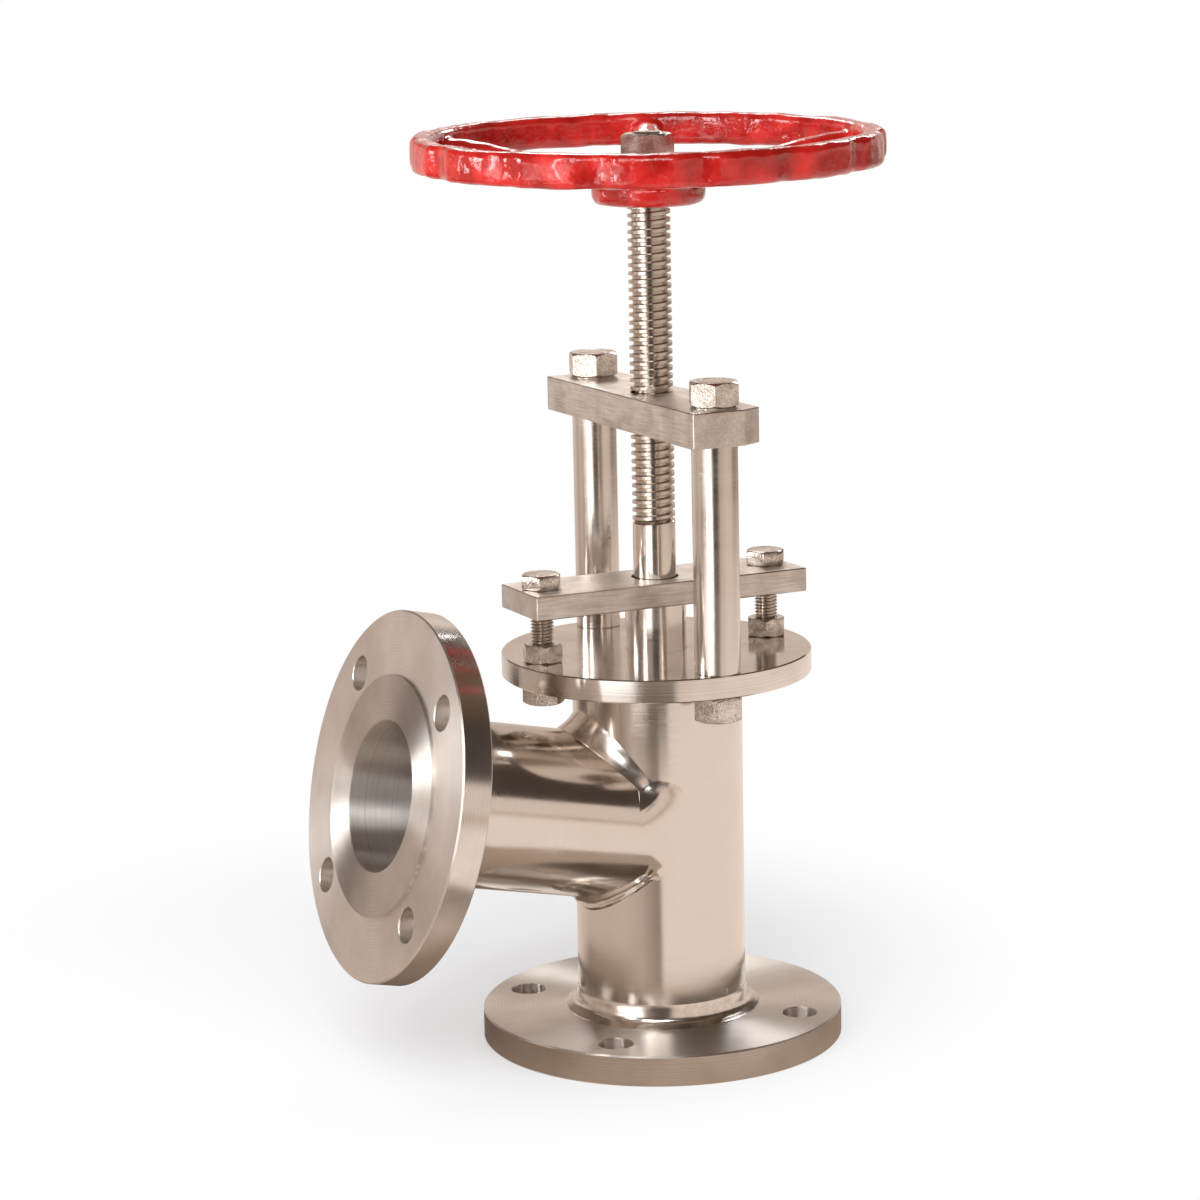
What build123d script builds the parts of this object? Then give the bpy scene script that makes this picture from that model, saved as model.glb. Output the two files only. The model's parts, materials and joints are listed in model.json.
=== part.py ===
"""Flush bottom valve of welded stainless pipe, standing on its tank flange.

Millimetres. +Z runs up the stem, the origin is the centre of the tank flange's bottom face, and the
outlet points towards -X and slopes upwards. The valve is closed: its disc is flush with the tank face.
"""

import os
from math import cos, pi, radians, sin, sqrt, tan

from build123d import *

os.makedirs("parts", exist_ok=True)

# Pipe work, three inch nominal
pipe_diameter = 88.9
pipe_wall = 5.49
outlet_pipe_diameter = 86.4
outlet_bore = 78.0
body_height = 196.5
outlet_slope = 12.1
outlet_drop = 81.7
outlet_length = 160.3

# Both flanges
flange_diameter = 190.5
flange_thickness = 16.0
flange_edge = 0.8
bolt_circle = 152.4
bolt_hole = 18.0
bolt_count = 4
bolt_start = 45.0
raised_face_diameter = 125.0
raised_face_height = 1.6
pipe_socket_depth = 8.0
pipe_slip_fit = 0.1

# Welds
base_weld_height = 11.0
base_weld_width = 7.5
base_weld_sag = 1.85
branch_weld_radius = 9.0
flange_weld_size = 4.0
bonnet_weld_size = 4.0

# Bonnet plate and stuffing box
plate_diameter = 162.0
plate_thickness = 12.0
plate_edge = 0.6
box_wall = 7.0
box_depth = 34.0
box_lip = 5.0
packing_section = 5.0
packing_count = 4
packing_gap = 0.1
packing_washer_thickness = 3.0

# Gland
sleeve_bore_gap = 0.3
sleeve_fit = 0.25
gland_bar_gap = 25.7
gland_bar_length = 156.0
gland_bar_width = 44.0
gland_bar_thickness = 12.4
gland_bar_corner = 17.0
gland_bar_hole_gap = 1.3
gland_bolt_spacing = 130.6
gland_bolt_diameter = 12.0
gland_bolt_head = 7.8
gland_nut_flats = 19.0
gland_lock_nut_height = 9.5
gland_base_nut_height = 10.0

# Yoke
pillar_spacing = 139.0
pillar_diameter = 23.5
pillar_length = 116.9
pillar_thread_diameter = 16.0
yoke_nut_flats = 24.0
yoke_nut_height = 13.6
pillar_base_nut_height = 12.8
yoke_bar_thickness = 18.0
yoke_bar_width = 40.0
yoke_bar_length = 171.0
yoke_corner_length = 11.0
yoke_corner_width = 5.5
bar_edge = 0.5

# Nuts and bolt holes, and how each nut or head happens to be turned: the bearing of one of its flats
nut_washer_face = 0.8
nut_face_share = 0.95
bolt_hole_gap = 0.25
thread_fit = 0.05
thread_end = 0.8
flat_bearings = {
    "gland_bolt_left": 31.0,
    "gland_bolt_right": 28.0,
    "gland_lock_nut_left": 43.0,
    "gland_lock_nut_right": 32.0,
    "gland_base_nut_left": 14.0,
    "gland_base_nut_right": 25.0,
    "yoke_nut_rear": 42.0,
    "yoke_nut_front": 36.0,
    "pillar_base_nut_rear": 10.0,
    "pillar_base_nut_front": 33.0,
    "handwheel_nut": 14.0,
}

# Stem
stem_diameter = 22.2
stem_shown = 96.6
stem_square = 16.0
stem_square_fit = 0.15
stem_square_gap = 0.8
stem_collar_diameter = 29.0
stem_collar_thickness = 5.0
stem_fit = 0.1
stem_end_diameter = 16.0

# Disc and seat
port_diameter = 60.0
seat_height = 10.0
seat_land = 2.0
disc_recess = 0.4
disc_gap = 0.3
disc_rim = 4.0
disc_edge_gap = 2.0
disc_floor = 11.5
boss_wall = 5.5
boss_height = 13.0
retainer_head = 5.0
retainer_flats = 36.0
seal_depth = 1.8
seal_width = 5.2
collar_gap = 0.3

# Handwheel
wheel_diameter = 243.0
rim_height = 17.0
rim_width = 12.5
rim_round = 4.8
rim_rise = 28.2
rim_runout = 1.4
runout_direction = -116.4
valley_count = 15
valley_depth = 3.0
valley_radius = 14.0
valley_blend = 9.0
arm_count = 5
arm_width = 15.0
arm_thickness = 9.0
arm_direction = 63.6
arm_foot_height = 13.5
hub_diameter = 58.6
hub_collar_height = 11.0
hub_neck_diameter = 42.0
hub_height = 22.5
hub_round = 5.0
hub_edge = 2.0
wheel_nut_flats = 24.0
wheel_nut_height = 13.6

# What follows from the sizes above
pipe_radius = pipe_diameter / 2
pipe_bore_radius = pipe_radius - pipe_wall
outlet_radius = outlet_pipe_diameter / 2
outlet_height = body_height - outlet_drop
outlet_bore_radius = outlet_bore / 2
flange_radius = flange_diameter / 2
stem_radius = stem_diameter / 2
plate_top = body_height + plate_thickness
gland_bar_bottom = plate_top + gland_bar_gap
gland_bar_top = gland_bar_bottom + gland_bar_thickness
yoke_bottom = plate_top + pillar_length
yoke_top = yoke_bottom + yoke_bar_thickness
hub_bottom = yoke_top + stem_shown
hub_top = hub_bottom + hub_height
rim_middle = hub_bottom + rim_rise
box_bore_radius = stem_radius + packing_gap + packing_section
sleeve_radius = box_bore_radius - sleeve_fit
outlet_plane = Plane(
    origin=(0, 0, outlet_height),
    x_dir=(0, 1, 0),
    z_dir=(-cos(radians(outlet_slope)), 0, sin(radians(outlet_slope))),
)
outlet_back = outlet_plane.offset(outlet_length - flange_thickness)
radius_tolerance = 0.01


def save(part, name):
    """Label a finished piece and write it to its own file."""
    part.label = name
    export_step(part, f"parts/{name}.step")


def rims(part, radius):
    """The round edges of a piece that have this radius."""
    return part.edges().filter_by(
        lambda edge: edge.geom_type == GeomType.CIRCLE and abs(edge.radius - radius) < radius_tolerance
    )


def ring_weld(seat, radius, size):
    """A fillet weld round a pipe of this radius, on the upper side of the seat plane."""
    side = Plane(origin=seat.origin, x_dir=seat.x_dir, z_dir=seat.x_dir.cross(seat.z_dir))
    with BuildPart() as weld:
        with BuildSketch(side):
            with BuildLine():
                Polyline((radius, 0), (radius + size, 0), (radius, size), close=True)
            make_face()
        revolve(axis=Axis(seat.origin, seat.z_dir))
    return weld.part


# Tank flange: the pipe slips in from above, the seat ring fills the bore below it
socket_radius = pipe_radius + pipe_slip_fit
with BuildPart() as tank_flange:
    with BuildSketch():
        Circle(flange_radius)
        Circle(socket_radius, mode=Mode.SUBTRACT)
        with PolarLocations(bolt_circle / 2, bolt_count, start_angle=bolt_start):
            Circle(bolt_hole / 2, mode=Mode.SUBTRACT)
    extrude(amount=flange_thickness)
    chamfer(rims(tank_flange, flange_radius), flange_edge)
save(tank_flange.part, "tank_flange")

# Seat ring: a turned ring with a conical seat that opens upwards from the port
port_radius = port_diameter / 2
seat_top_radius = port_radius + seat_height - seat_land
with BuildPart() as seat_ring:
    with BuildSketch(Plane.XZ):
        with BuildLine():
            Polyline(
                (port_radius, 0),
                (socket_radius, 0),
                (socket_radius, seat_height),
                (seat_top_radius, seat_height),
                (port_radius, seat_land),
                close=True,
            )
        make_face()
    revolve(axis=Axis.Z)
save(seat_ring.part, "seat_ring")

# Body pipe: stands on the seat ring, with the outlet's bore cut through its wall
with BuildPart() as body_pipe:
    with BuildSketch(Plane.XY.offset(seat_height)):
        Circle(pipe_radius)
        Circle(pipe_bore_radius, mode=Mode.SUBTRACT)
    extrude(amount=body_height - seat_height)
    with BuildSketch(outlet_plane):
        Circle(outlet_bore_radius)
    extrude(amount=outlet_length, mode=Mode.SUBTRACT)
save(body_pipe.part, "body_pipe")

# Weld between tank flange and body pipe: a ground fillet with a soft hollow
with BuildPart() as tank_flange_weld:
    with BuildSketch(Plane.XZ):
        with BuildLine():
            low = (pipe_radius + base_weld_width, flange_thickness)
            high = (pipe_radius, flange_thickness + base_weld_height)
            sag = base_weld_sag / sqrt(2)
            middle = ((low[0] + high[0]) / 2 - sag, (low[1] + high[1]) / 2 - sag)
            Polyline(high, (pipe_radius, flange_thickness), low)
            ThreePointArc(low, middle, high)
        make_face()
    revolve(axis=Axis.Z)
save(tank_flange_weld.part, "tank_flange_weld")

# Outlet pipe: saddle cut to the body pipe, its other end in the flange's socket
outlet_pipe_end = outlet_length - flange_thickness + pipe_socket_depth
with BuildPart() as outlet_pipe:
    with BuildSketch(outlet_plane):
        Circle(outlet_radius)
        Circle(outlet_bore_radius, mode=Mode.SUBTRACT)
    extrude(amount=outlet_pipe_end)
    with BuildSketch():
        Circle(pipe_radius)
    extrude(amount=body_height, mode=Mode.SUBTRACT)
save(outlet_pipe.part, "outlet_pipe")

# Weld round the saddle: the two pipes joined with a rounded corner, less the pipes themselves
with BuildPart() as branch_weld:
    with BuildSketch():
        Circle(pipe_radius)
    extrude(amount=body_height)
    with BuildSketch(outlet_plane):
        Circle(outlet_radius)
    extrude(amount=outlet_pipe_end)
    saddle = branch_weld.edges().filter_by(lambda e: e.geom_type not in (GeomType.CIRCLE, GeomType.LINE))
    fillet(saddle, branch_weld_radius)
    with BuildSketch():
        Circle(pipe_radius)
    extrude(amount=body_height, mode=Mode.SUBTRACT)
    with BuildSketch(outlet_plane):
        Circle(outlet_radius)
    extrude(amount=outlet_pipe_end, mode=Mode.SUBTRACT)
save(branch_weld.part, "branch_weld")

# Outlet flange: raised face outwards, a socket for the pipe behind
with BuildPart() as outlet_flange:
    with BuildSketch(outlet_back):
        Circle(flange_radius)
        with PolarLocations(bolt_circle / 2, bolt_count, start_angle=bolt_start):
            Circle(bolt_hole / 2, mode=Mode.SUBTRACT)
    extrude(amount=flange_thickness)
    chamfer(rims(outlet_flange, flange_radius), flange_edge)
    with BuildSketch(outlet_plane.offset(outlet_length)):
        Circle(raised_face_diameter / 2)
    extrude(amount=raised_face_height)
    with BuildSketch(outlet_back):
        Circle(outlet_radius + pipe_slip_fit)
    extrude(amount=pipe_socket_depth, mode=Mode.SUBTRACT)
    with BuildSketch(outlet_plane):
        Circle(outlet_bore_radius)
    extrude(amount=outlet_length + raised_face_height, mode=Mode.SUBTRACT)
save(outlet_flange.part, "outlet_flange")

# Weld behind the outlet flange: a small fillet round the pipe
weld_seat = Plane(origin=outlet_back.origin, x_dir=outlet_back.x_dir, z_dir=-outlet_back.z_dir)
outlet_flange_weld = ring_weld(weld_seat, outlet_radius, flange_weld_size)
save(outlet_flange_weld, "outlet_flange_weld")

# Bonnet plate: closes the body and carries the yoke, the gland bolts and the stuffing box
with BuildPart() as bonnet_plate:
    with BuildSketch(Plane.XY.offset(body_height)):
        Circle(plate_diameter / 2)
        Circle(box_bore_radius, mode=Mode.SUBTRACT)
        with Locations((0, pillar_spacing / 2), (0, -pillar_spacing / 2)):
            Circle(pillar_thread_diameter / 2 + bolt_hole_gap, mode=Mode.SUBTRACT)
        with Locations((gland_bolt_spacing / 2, 0), (-gland_bolt_spacing / 2, 0)):
            Circle(gland_bolt_diameter / 2 + bolt_hole_gap, mode=Mode.SUBTRACT)
    extrude(amount=plate_thickness)
    chamfer(rims(bonnet_plate, plate_diameter / 2), plate_edge)
save(bonnet_plate.part, "bonnet_plate")

# Weld under the bonnet plate, in the corner with the body pipe
plate_underside = Plane(origin=(0, 0, body_height), z_dir=(0, 0, -1))
bonnet_weld = ring_weld(plate_underside, pipe_radius, bonnet_weld_size)
save(bonnet_weld, "bonnet_weld")

# Stuffing box: a turned tube under the plate with a lip that carries the packing
box_bottom = body_height - box_depth
with BuildPart() as stuffing_box:
    with BuildSketch(Plane.XY.offset(box_bottom)):
        Circle(box_bore_radius + box_wall)
        Circle(stem_radius + sleeve_bore_gap, mode=Mode.SUBTRACT)
    extrude(amount=box_depth)
    with BuildSketch(Plane.XY.offset(box_bottom + box_lip)):
        Circle(box_bore_radius)
    extrude(amount=box_depth - box_lip, mode=Mode.SUBTRACT)
save(stuffing_box.part, "stuffing_box")

# Packing: a metal washer on the lip, then square rings of braided packing round the stem
washer_bottom = box_bottom + box_lip
with BuildPart() as packing_washer:
    with BuildSketch(Plane.XY.offset(washer_bottom)):
        Circle(box_bore_radius - sleeve_fit)
        Circle(stem_radius + sleeve_bore_gap, mode=Mode.SUBTRACT)
    extrude(amount=packing_washer_thickness)
save(packing_washer.part, "packing_washer")

packing_bottom = washer_bottom + packing_washer_thickness
for index in range(packing_count):
    with BuildPart() as packing_ring:
        with BuildSketch(Plane.XY.offset(packing_bottom + index * packing_section)):
            Circle(box_bore_radius)
            Circle(stem_radius + packing_gap, mode=Mode.SUBTRACT)
        extrude(amount=packing_section)
    save(packing_ring.part, f"packing_ring_{index + 1}")
packing_top = packing_bottom + packing_count * packing_section

# Gland sleeve: a turned bush that the gland bar presses down on the packing
with BuildPart() as gland_sleeve:
    with BuildSketch(Plane.XY.offset(packing_top)):
        Circle(sleeve_radius)
        Circle(stem_radius + sleeve_bore_gap, mode=Mode.SUBTRACT)
    extrude(amount=gland_bar_bottom - packing_top)
save(gland_sleeve.part, "gland_sleeve")

# Gland bar: flat bar with one corner cut off, a loose hole for the stem and one for each bolt
bar_half = gland_bar_length / 2
bar_side = gland_bar_width / 2
with BuildPart() as gland_bar:
    with BuildSketch(Plane.XY.offset(gland_bar_bottom)):
        with BuildLine():
            Polyline(
                (-bar_half, -bar_side),
                (bar_half, -bar_side),
                (bar_half, bar_side - gland_bar_corner),
                (bar_half - gland_bar_corner, bar_side),
                (-bar_half, bar_side),
                close=True,
            )
        make_face()
        Circle(stem_radius + gland_bar_hole_gap, mode=Mode.SUBTRACT)
        with Locations((gland_bolt_spacing / 2, 0), (-gland_bolt_spacing / 2, 0)):
            Circle(gland_bolt_diameter / 2 + bolt_hole_gap, mode=Mode.SUBTRACT)
    extrude(amount=gland_bar_thickness)
    chamfer(gland_bar.edges().filter_by(GeomType.LINE), bar_edge)
save(gland_bar.part, "gland_bar")


def hexagon(name, centre, bottom, flats, height, bore=0.0, washer_face=0.0):
    """A hex head or nut with bevelled corners: a nut has a plain bore, and a washer face if asked for."""
    x, y = centre
    bearing = radians(flat_bearings[name])
    flat_radius = flats / 2
    corner_radius = flat_radius / cos(pi / 6)
    bevel_radius = flat_radius * nut_face_share
    bevel = (corner_radius - bevel_radius) * tan(pi / 6)
    seat = Plane(origin=(x, y, bottom), x_dir=(cos(bearing), sin(bearing), 0), z_dir=(0, 0, 1))
    side = Plane(origin=(x, y, bottom + washer_face), x_dir=(1, 0, 0), z_dir=(0, -1, 0))
    hex_height = height - washer_face
    with BuildPart() as piece:
        with BuildSketch(seat.offset(washer_face)):
            RegularPolygon(flat_radius, 6, major_radius=False, rotation=30)
        extrude(amount=hex_height)
        with BuildSketch(side):
            with BuildLine():
                Polyline(
                    (0, 0),
                    (bevel_radius, 0),
                    (corner_radius, bevel),
                    (corner_radius, hex_height - bevel),
                    (bevel_radius, hex_height),
                    (0, hex_height),
                    close=True,
                )
            make_face()
        revolve(axis=Axis((x, y, bottom), (0, 0, 1)), mode=Mode.INTERSECT)
        if washer_face:
            with BuildSketch(seat):
                Circle(bevel_radius)
            extrude(amount=washer_face)
        if bore:
            with BuildSketch(seat):
                Circle(bore / 2 + thread_fit)
            extrude(amount=height, mode=Mode.SUBTRACT)
    return piece.part


# Gland bolts: hex bolts through the gland bar, held in the plate by a lock nut above and a nut below
bolt_places = {"left": -gland_bolt_spacing / 2, "right": gland_bolt_spacing / 2}
bolt_bottom = body_height - gland_base_nut_height - thread_end
for side_name, place in bolt_places.items():
    bolt_name = f"gland_bolt_{side_name}"
    with BuildPart() as gland_bolt:
        with BuildSketch(Plane(origin=(place, 0, bolt_bottom))):
            Circle(gland_bolt_diameter / 2)
        extrude(amount=gland_bar_top - bolt_bottom)
        chamfer(gland_bolt.edges().sort_by(Axis.Z)[0], thread_end)
        add(hexagon(bolt_name, (place, 0), gland_bar_top, gland_nut_flats, gland_bolt_head))
    save(gland_bolt.part, bolt_name)
    nut_rows = {
        f"gland_lock_nut_{side_name}": (plate_top, gland_lock_nut_height),
        f"gland_base_nut_{side_name}": (body_height - gland_base_nut_height, gland_base_nut_height),
    }
    for nut_name, (nut_bottom, nut_height) in nut_rows.items():
        nut = hexagon(nut_name, (place, 0), nut_bottom, gland_nut_flats, nut_height, gland_bolt_diameter)
        save(nut, nut_name)

# Yoke pillars: round bar turned down at both ends for a nut under the plate and one on the yoke bar
pillar_places = {"front": -pillar_spacing / 2, "rear": pillar_spacing / 2}
pillar_foot = body_height - pillar_base_nut_height
pillar_head = yoke_top + yoke_nut_height
for side_name, place in pillar_places.items():
    with BuildPart() as pillar:
        with BuildSketch(Plane(origin=(0, place, pillar_foot))):
            Circle(pillar_thread_diameter / 2)
        extrude(amount=pillar_head - pillar_foot)
        chamfer(pillar.edges().filter_by(GeomType.CIRCLE), thread_end)
        with BuildSketch(Plane(origin=(0, place, plate_top))):
            Circle(pillar_diameter / 2)
        extrude(amount=pillar_length)
    save(pillar.part, f"pillar_{side_name}")
    nut_rows = {
        f"yoke_nut_{side_name}": (yoke_top, yoke_nut_height, nut_washer_face),
        f"pillar_base_nut_{side_name}": (pillar_foot, pillar_base_nut_height, 0),
    }
    for nut_name, (nut_bottom, nut_height, washer_face) in nut_rows.items():
        nut = hexagon(
            nut_name, (0, place), nut_bottom, yoke_nut_flats, nut_height, pillar_thread_diameter, washer_face
        )
        save(nut, nut_name)

# Yoke bar: flat bar on the pillars, its far corners cut, with the stem through its middle
yoke_half = yoke_bar_length / 2
yoke_side = yoke_bar_width / 2
with BuildPart() as yoke_bar:
    with BuildSketch(Plane.XY.offset(yoke_bottom)):
        with BuildLine():
            Polyline(
                (-yoke_side, -yoke_half),
                (yoke_side - yoke_corner_length, -yoke_half),
                (yoke_side, -yoke_half + yoke_corner_width),
                (yoke_side, yoke_half - yoke_corner_width),
                (yoke_side - yoke_corner_length, yoke_half),
                (-yoke_side, yoke_half),
                close=True,
            )
        make_face()
        Circle(stem_radius + stem_fit, mode=Mode.SUBTRACT)
        with Locations((0, pillar_spacing / 2), (0, -pillar_spacing / 2)):
            Circle(pillar_thread_diameter / 2 + bolt_hole_gap, mode=Mode.SUBTRACT)
    extrude(amount=yoke_bar_thickness)
    chamfer(yoke_bar.edges().filter_by(GeomType.LINE), bar_edge)
save(yoke_bar.part, "yoke_bar")

# Plug disc: a turned disc with a conical edge for the seat and a boss for the stem's collar
cone_shift = disc_gap * sqrt(2)
disc_face_radius = port_radius - disc_gap
cone_start = seat_land + cone_shift - disc_gap
disc_radius = pipe_bore_radius - disc_edge_gap
cone_end = cone_start + disc_radius - disc_face_radius
disc_top = cone_end + disc_rim
collar_radius = stem_collar_diameter / 2
boss_bore_radius = collar_radius + collar_gap
boss_radius = boss_bore_radius + boss_wall
boss_top = disc_floor + boss_height
with BuildPart() as plug_disc:
    with BuildSketch(Plane.XZ):
        with BuildLine():
            Polyline(
                (0, disc_recess),
                (disc_face_radius, disc_recess),
                (disc_face_radius, cone_start),
                (disc_radius, cone_end),
                (disc_radius, disc_top),
                (boss_radius, disc_top),
                (boss_radius, boss_top),
                (boss_bore_radius, boss_top),
                (boss_bore_radius, disc_floor),
                (0, disc_floor),
                close=True,
            )
        make_face()
    revolve(axis=Axis.Z)
    seal_half = seal_width / 2 / sqrt(2)
    seal_middle = ((disc_face_radius + disc_radius) / 2, (cone_start + cone_end) / 2)
    seal_low = (seal_middle[0] - seal_half, seal_middle[1] - seal_half)
    seal_high = (seal_middle[0] + seal_half, seal_middle[1] + seal_half)
    seal_points = [
        seal_low,
        seal_high,
        (seal_high[0] - seal_depth, seal_high[1] + seal_depth),
        (seal_low[0] - seal_depth, seal_low[1] + seal_depth),
    ]
    with BuildSketch(Plane.XZ):
        with BuildLine():
            Polyline(*seal_points, close=True)
        make_face()
    revolve(axis=Axis.Z, mode=Mode.SUBTRACT)
save(plug_disc.part, "plug_disc")

# Soft seal: a ring let into the disc's cone
with BuildPart() as plug_seal:
    with BuildSketch(Plane.XZ):
        with BuildLine():
            Polyline(*seal_points, close=True)
        make_face()
    revolve(axis=Axis.Z)
save(plug_seal.part, "plug_seal")

# Retainer: a hollow hex plug screwed into the boss, above the stem's collar
retainer_bottom = disc_floor + collar_gap + stem_collar_thickness + collar_gap
with BuildPart() as plug_retainer:
    with BuildSketch(Plane.XY.offset(retainer_bottom)):
        Circle(boss_bore_radius)
    extrude(amount=boss_top - retainer_bottom)
    with BuildSketch(Plane.XY.offset(boss_top)):
        RegularPolygon(retainer_flats / 2, 6, major_radius=False)
    extrude(amount=retainer_head)
    with BuildSketch(Plane.XY.offset(retainer_bottom)):
        Circle(stem_radius + stem_fit)
    extrude(amount=boss_top + retainer_head - retainer_bottom, mode=Mode.SUBTRACT)
save(plug_retainer.part, "plug_retainer")

# Stem: a collar at the foot, a long round bar, a square for the wheel and a threaded end for its nut
stem_foot = disc_floor + collar_gap
stem_top = hub_top + wheel_nut_height + thread_end
with BuildPart() as stem:
    with BuildSketch(Plane.XY.offset(stem_foot)):
        Circle(collar_radius)
    extrude(amount=stem_collar_thickness)
    with BuildSketch(Plane.XY.offset(stem_foot)):
        Circle(stem_radius)
    extrude(amount=hub_bottom - stem_foot)
    with BuildSketch(Plane.XY.offset(hub_bottom)):
        Rectangle(stem_square, stem_square)
        Circle(stem_radius, mode=Mode.INTERSECT)
    extrude(amount=hub_height - stem_square_gap)
    with BuildSketch(Plane.XY.offset(hub_bottom)):
        Circle(stem_end_diameter / 2)
    extrude(amount=stem_top - hub_bottom)
    chamfer(stem.faces().sort_by(Axis.Z)[-1].edges(), thread_end)
save(stem.part, "stem")

# Handwheel: one casting of a scalloped rim, bent arms and a hub with a square hole
lean = radians(rim_runout)
low_side = radians(runout_direction)
rim_plane = Plane(
    origin=(0, 0, rim_middle),
    x_dir=(cos(lean), 0, -sin(lean) * cos(low_side)),
    z_dir=(sin(lean) * cos(low_side), sin(lean) * sin(low_side), cos(lean)),
)
wheel_radius = wheel_diameter / 2
rim_inner_radius = wheel_radius - rim_width
rim_centre_radius = wheel_radius - rim_width / 2
rim_side = rim_plane.x_dir.cross(rim_plane.z_dir)
rim_section = Plane(origin=rim_plane.origin, x_dir=rim_plane.x_dir, z_dir=rim_side)
hub_section = Plane(origin=(0, 0, hub_bottom), x_dir=(1, 0, 0), z_dir=(0, -1, 0))
valley_circle = wheel_radius + valley_radius - valley_depth
with BuildPart() as handwheel:
    with BuildSketch(rim_section):
        with Locations((rim_centre_radius, 0)):
            RectangleRounded(rim_width, rim_height, rim_round)
    revolve(axis=Axis(rim_plane.origin, rim_plane.z_dir))
    with BuildSketch(rim_plane.offset(-rim_height / 2)) as rim_outline:
        Circle(wheel_radius)
        with PolarLocations(valley_circle, valley_count, start_angle=arm_direction):
            Circle(valley_radius, mode=Mode.SUBTRACT)
        fillet(rim_outline.vertices(), valley_blend)
    extrude(amount=rim_height, mode=Mode.INTERSECT)
    for index in range(arm_count):
        bearing = radians(arm_direction + index * 360 / arm_count)
        outward = Vector(cos(bearing), sin(bearing), 0)
        rim_drop = rim_centre_radius * tan(lean) * cos(bearing - low_side)
        start = outward * (hub_neck_diameter / 4) + Vector(0, 0, hub_bottom + arm_foot_height)
        end = outward * rim_centre_radius + Vector(0, 0, rim_middle - rim_drop)
        with BuildLine() as arm_path:
            rise = TangentArc(start, (start + end) / 2, tangent=outward)
            TangentArc((start + end) / 2, end, tangent=rise % 1)
        with BuildSketch(Plane(origin=start, x_dir=(-outward.Y, outward.X, 0), z_dir=outward)):
            Ellipse(arm_width / 2, arm_thickness / 2)
        sweep(path=arm_path.wires()[0])
    with BuildSketch(hub_section):
        with BuildLine():
            hub_radius = hub_diameter / 2
            neck_radius = hub_neck_diameter / 2
            foot = JernArc((hub_radius - hub_round, 0), (1, 0), hub_round, 90)
            Polyline(
                foot @ 1,
                (hub_radius, hub_collar_height - hub_edge),
                (hub_radius - hub_edge, hub_collar_height),
                (neck_radius, hub_collar_height),
                (neck_radius, hub_height - hub_edge),
                (neck_radius - hub_edge, hub_height),
                (0, hub_height),
                (0, 0),
                foot @ 0,
            )
        make_face()
    revolve(axis=Axis.Z)
    with BuildSketch(Plane.XY.offset(hub_bottom)):
        Rectangle(stem_square + 2 * stem_square_fit, stem_square + 2 * stem_square_fit)
    extrude(amount=hub_height, mode=Mode.SUBTRACT)
save(handwheel.part, "handwheel")

# Handwheel nut
wheel_nut = hexagon("handwheel_nut", (0, 0), hub_top, wheel_nut_flats, wheel_nut_height, stem_end_diameter)
save(wheel_nut, "handwheel_nut")
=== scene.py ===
"""Looks of a flush bottom valve: bare stainless steel, welded and bolted, under a red cast handwheel.

Metres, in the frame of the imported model: +Z up the stem, the outlet towards -X. Sections follow the
valve as it is put together, from the tank flange to the handwheel, and end with studio and camera.
"""

import json
from math import atan2, cos, hypot, pi, radians, sin, sqrt, tan

import bmesh
import bpy
from mathutils import Matrix, Vector, noise


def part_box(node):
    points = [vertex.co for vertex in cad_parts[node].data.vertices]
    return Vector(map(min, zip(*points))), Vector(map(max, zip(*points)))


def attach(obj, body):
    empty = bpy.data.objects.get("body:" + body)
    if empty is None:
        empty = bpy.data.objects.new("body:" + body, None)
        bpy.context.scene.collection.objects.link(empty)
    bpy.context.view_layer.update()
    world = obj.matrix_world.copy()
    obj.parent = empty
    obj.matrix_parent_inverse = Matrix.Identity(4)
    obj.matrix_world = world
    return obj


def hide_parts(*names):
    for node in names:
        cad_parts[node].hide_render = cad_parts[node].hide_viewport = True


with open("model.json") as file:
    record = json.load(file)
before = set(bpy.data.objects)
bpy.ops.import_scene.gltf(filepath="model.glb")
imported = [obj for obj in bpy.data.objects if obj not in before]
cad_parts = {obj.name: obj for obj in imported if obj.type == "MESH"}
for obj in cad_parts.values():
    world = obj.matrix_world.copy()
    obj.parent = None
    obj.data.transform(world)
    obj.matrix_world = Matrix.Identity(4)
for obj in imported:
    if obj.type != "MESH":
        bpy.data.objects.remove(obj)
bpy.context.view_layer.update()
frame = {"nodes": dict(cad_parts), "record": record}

mm = 0.001


# Tank flange: a plate flange of stainless steel, its faces turned on a lathe and its four holes drilled.
# It is bolted under a tank's outlet, and the body pipe is welded into it. The lathe leaves fine rings
# that pull each highlight out into a bow tie.
def placed(name, data=None):
    """A new object in the scene, with this data or an empty mesh."""
    if data is None:
        data = bpy.data.meshes.new(name)
    piece = bpy.data.objects.new(name, data)
    bpy.context.scene.collection.objects.link(piece)
    return piece


def crisp(piece, angle=30):
    """Smooth shading, with the edges that turn more than this many degrees kept sharp."""
    piece.data.shade_smooth()
    piece.data.set_sharp_from_angle(angle=radians(angle))


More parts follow.
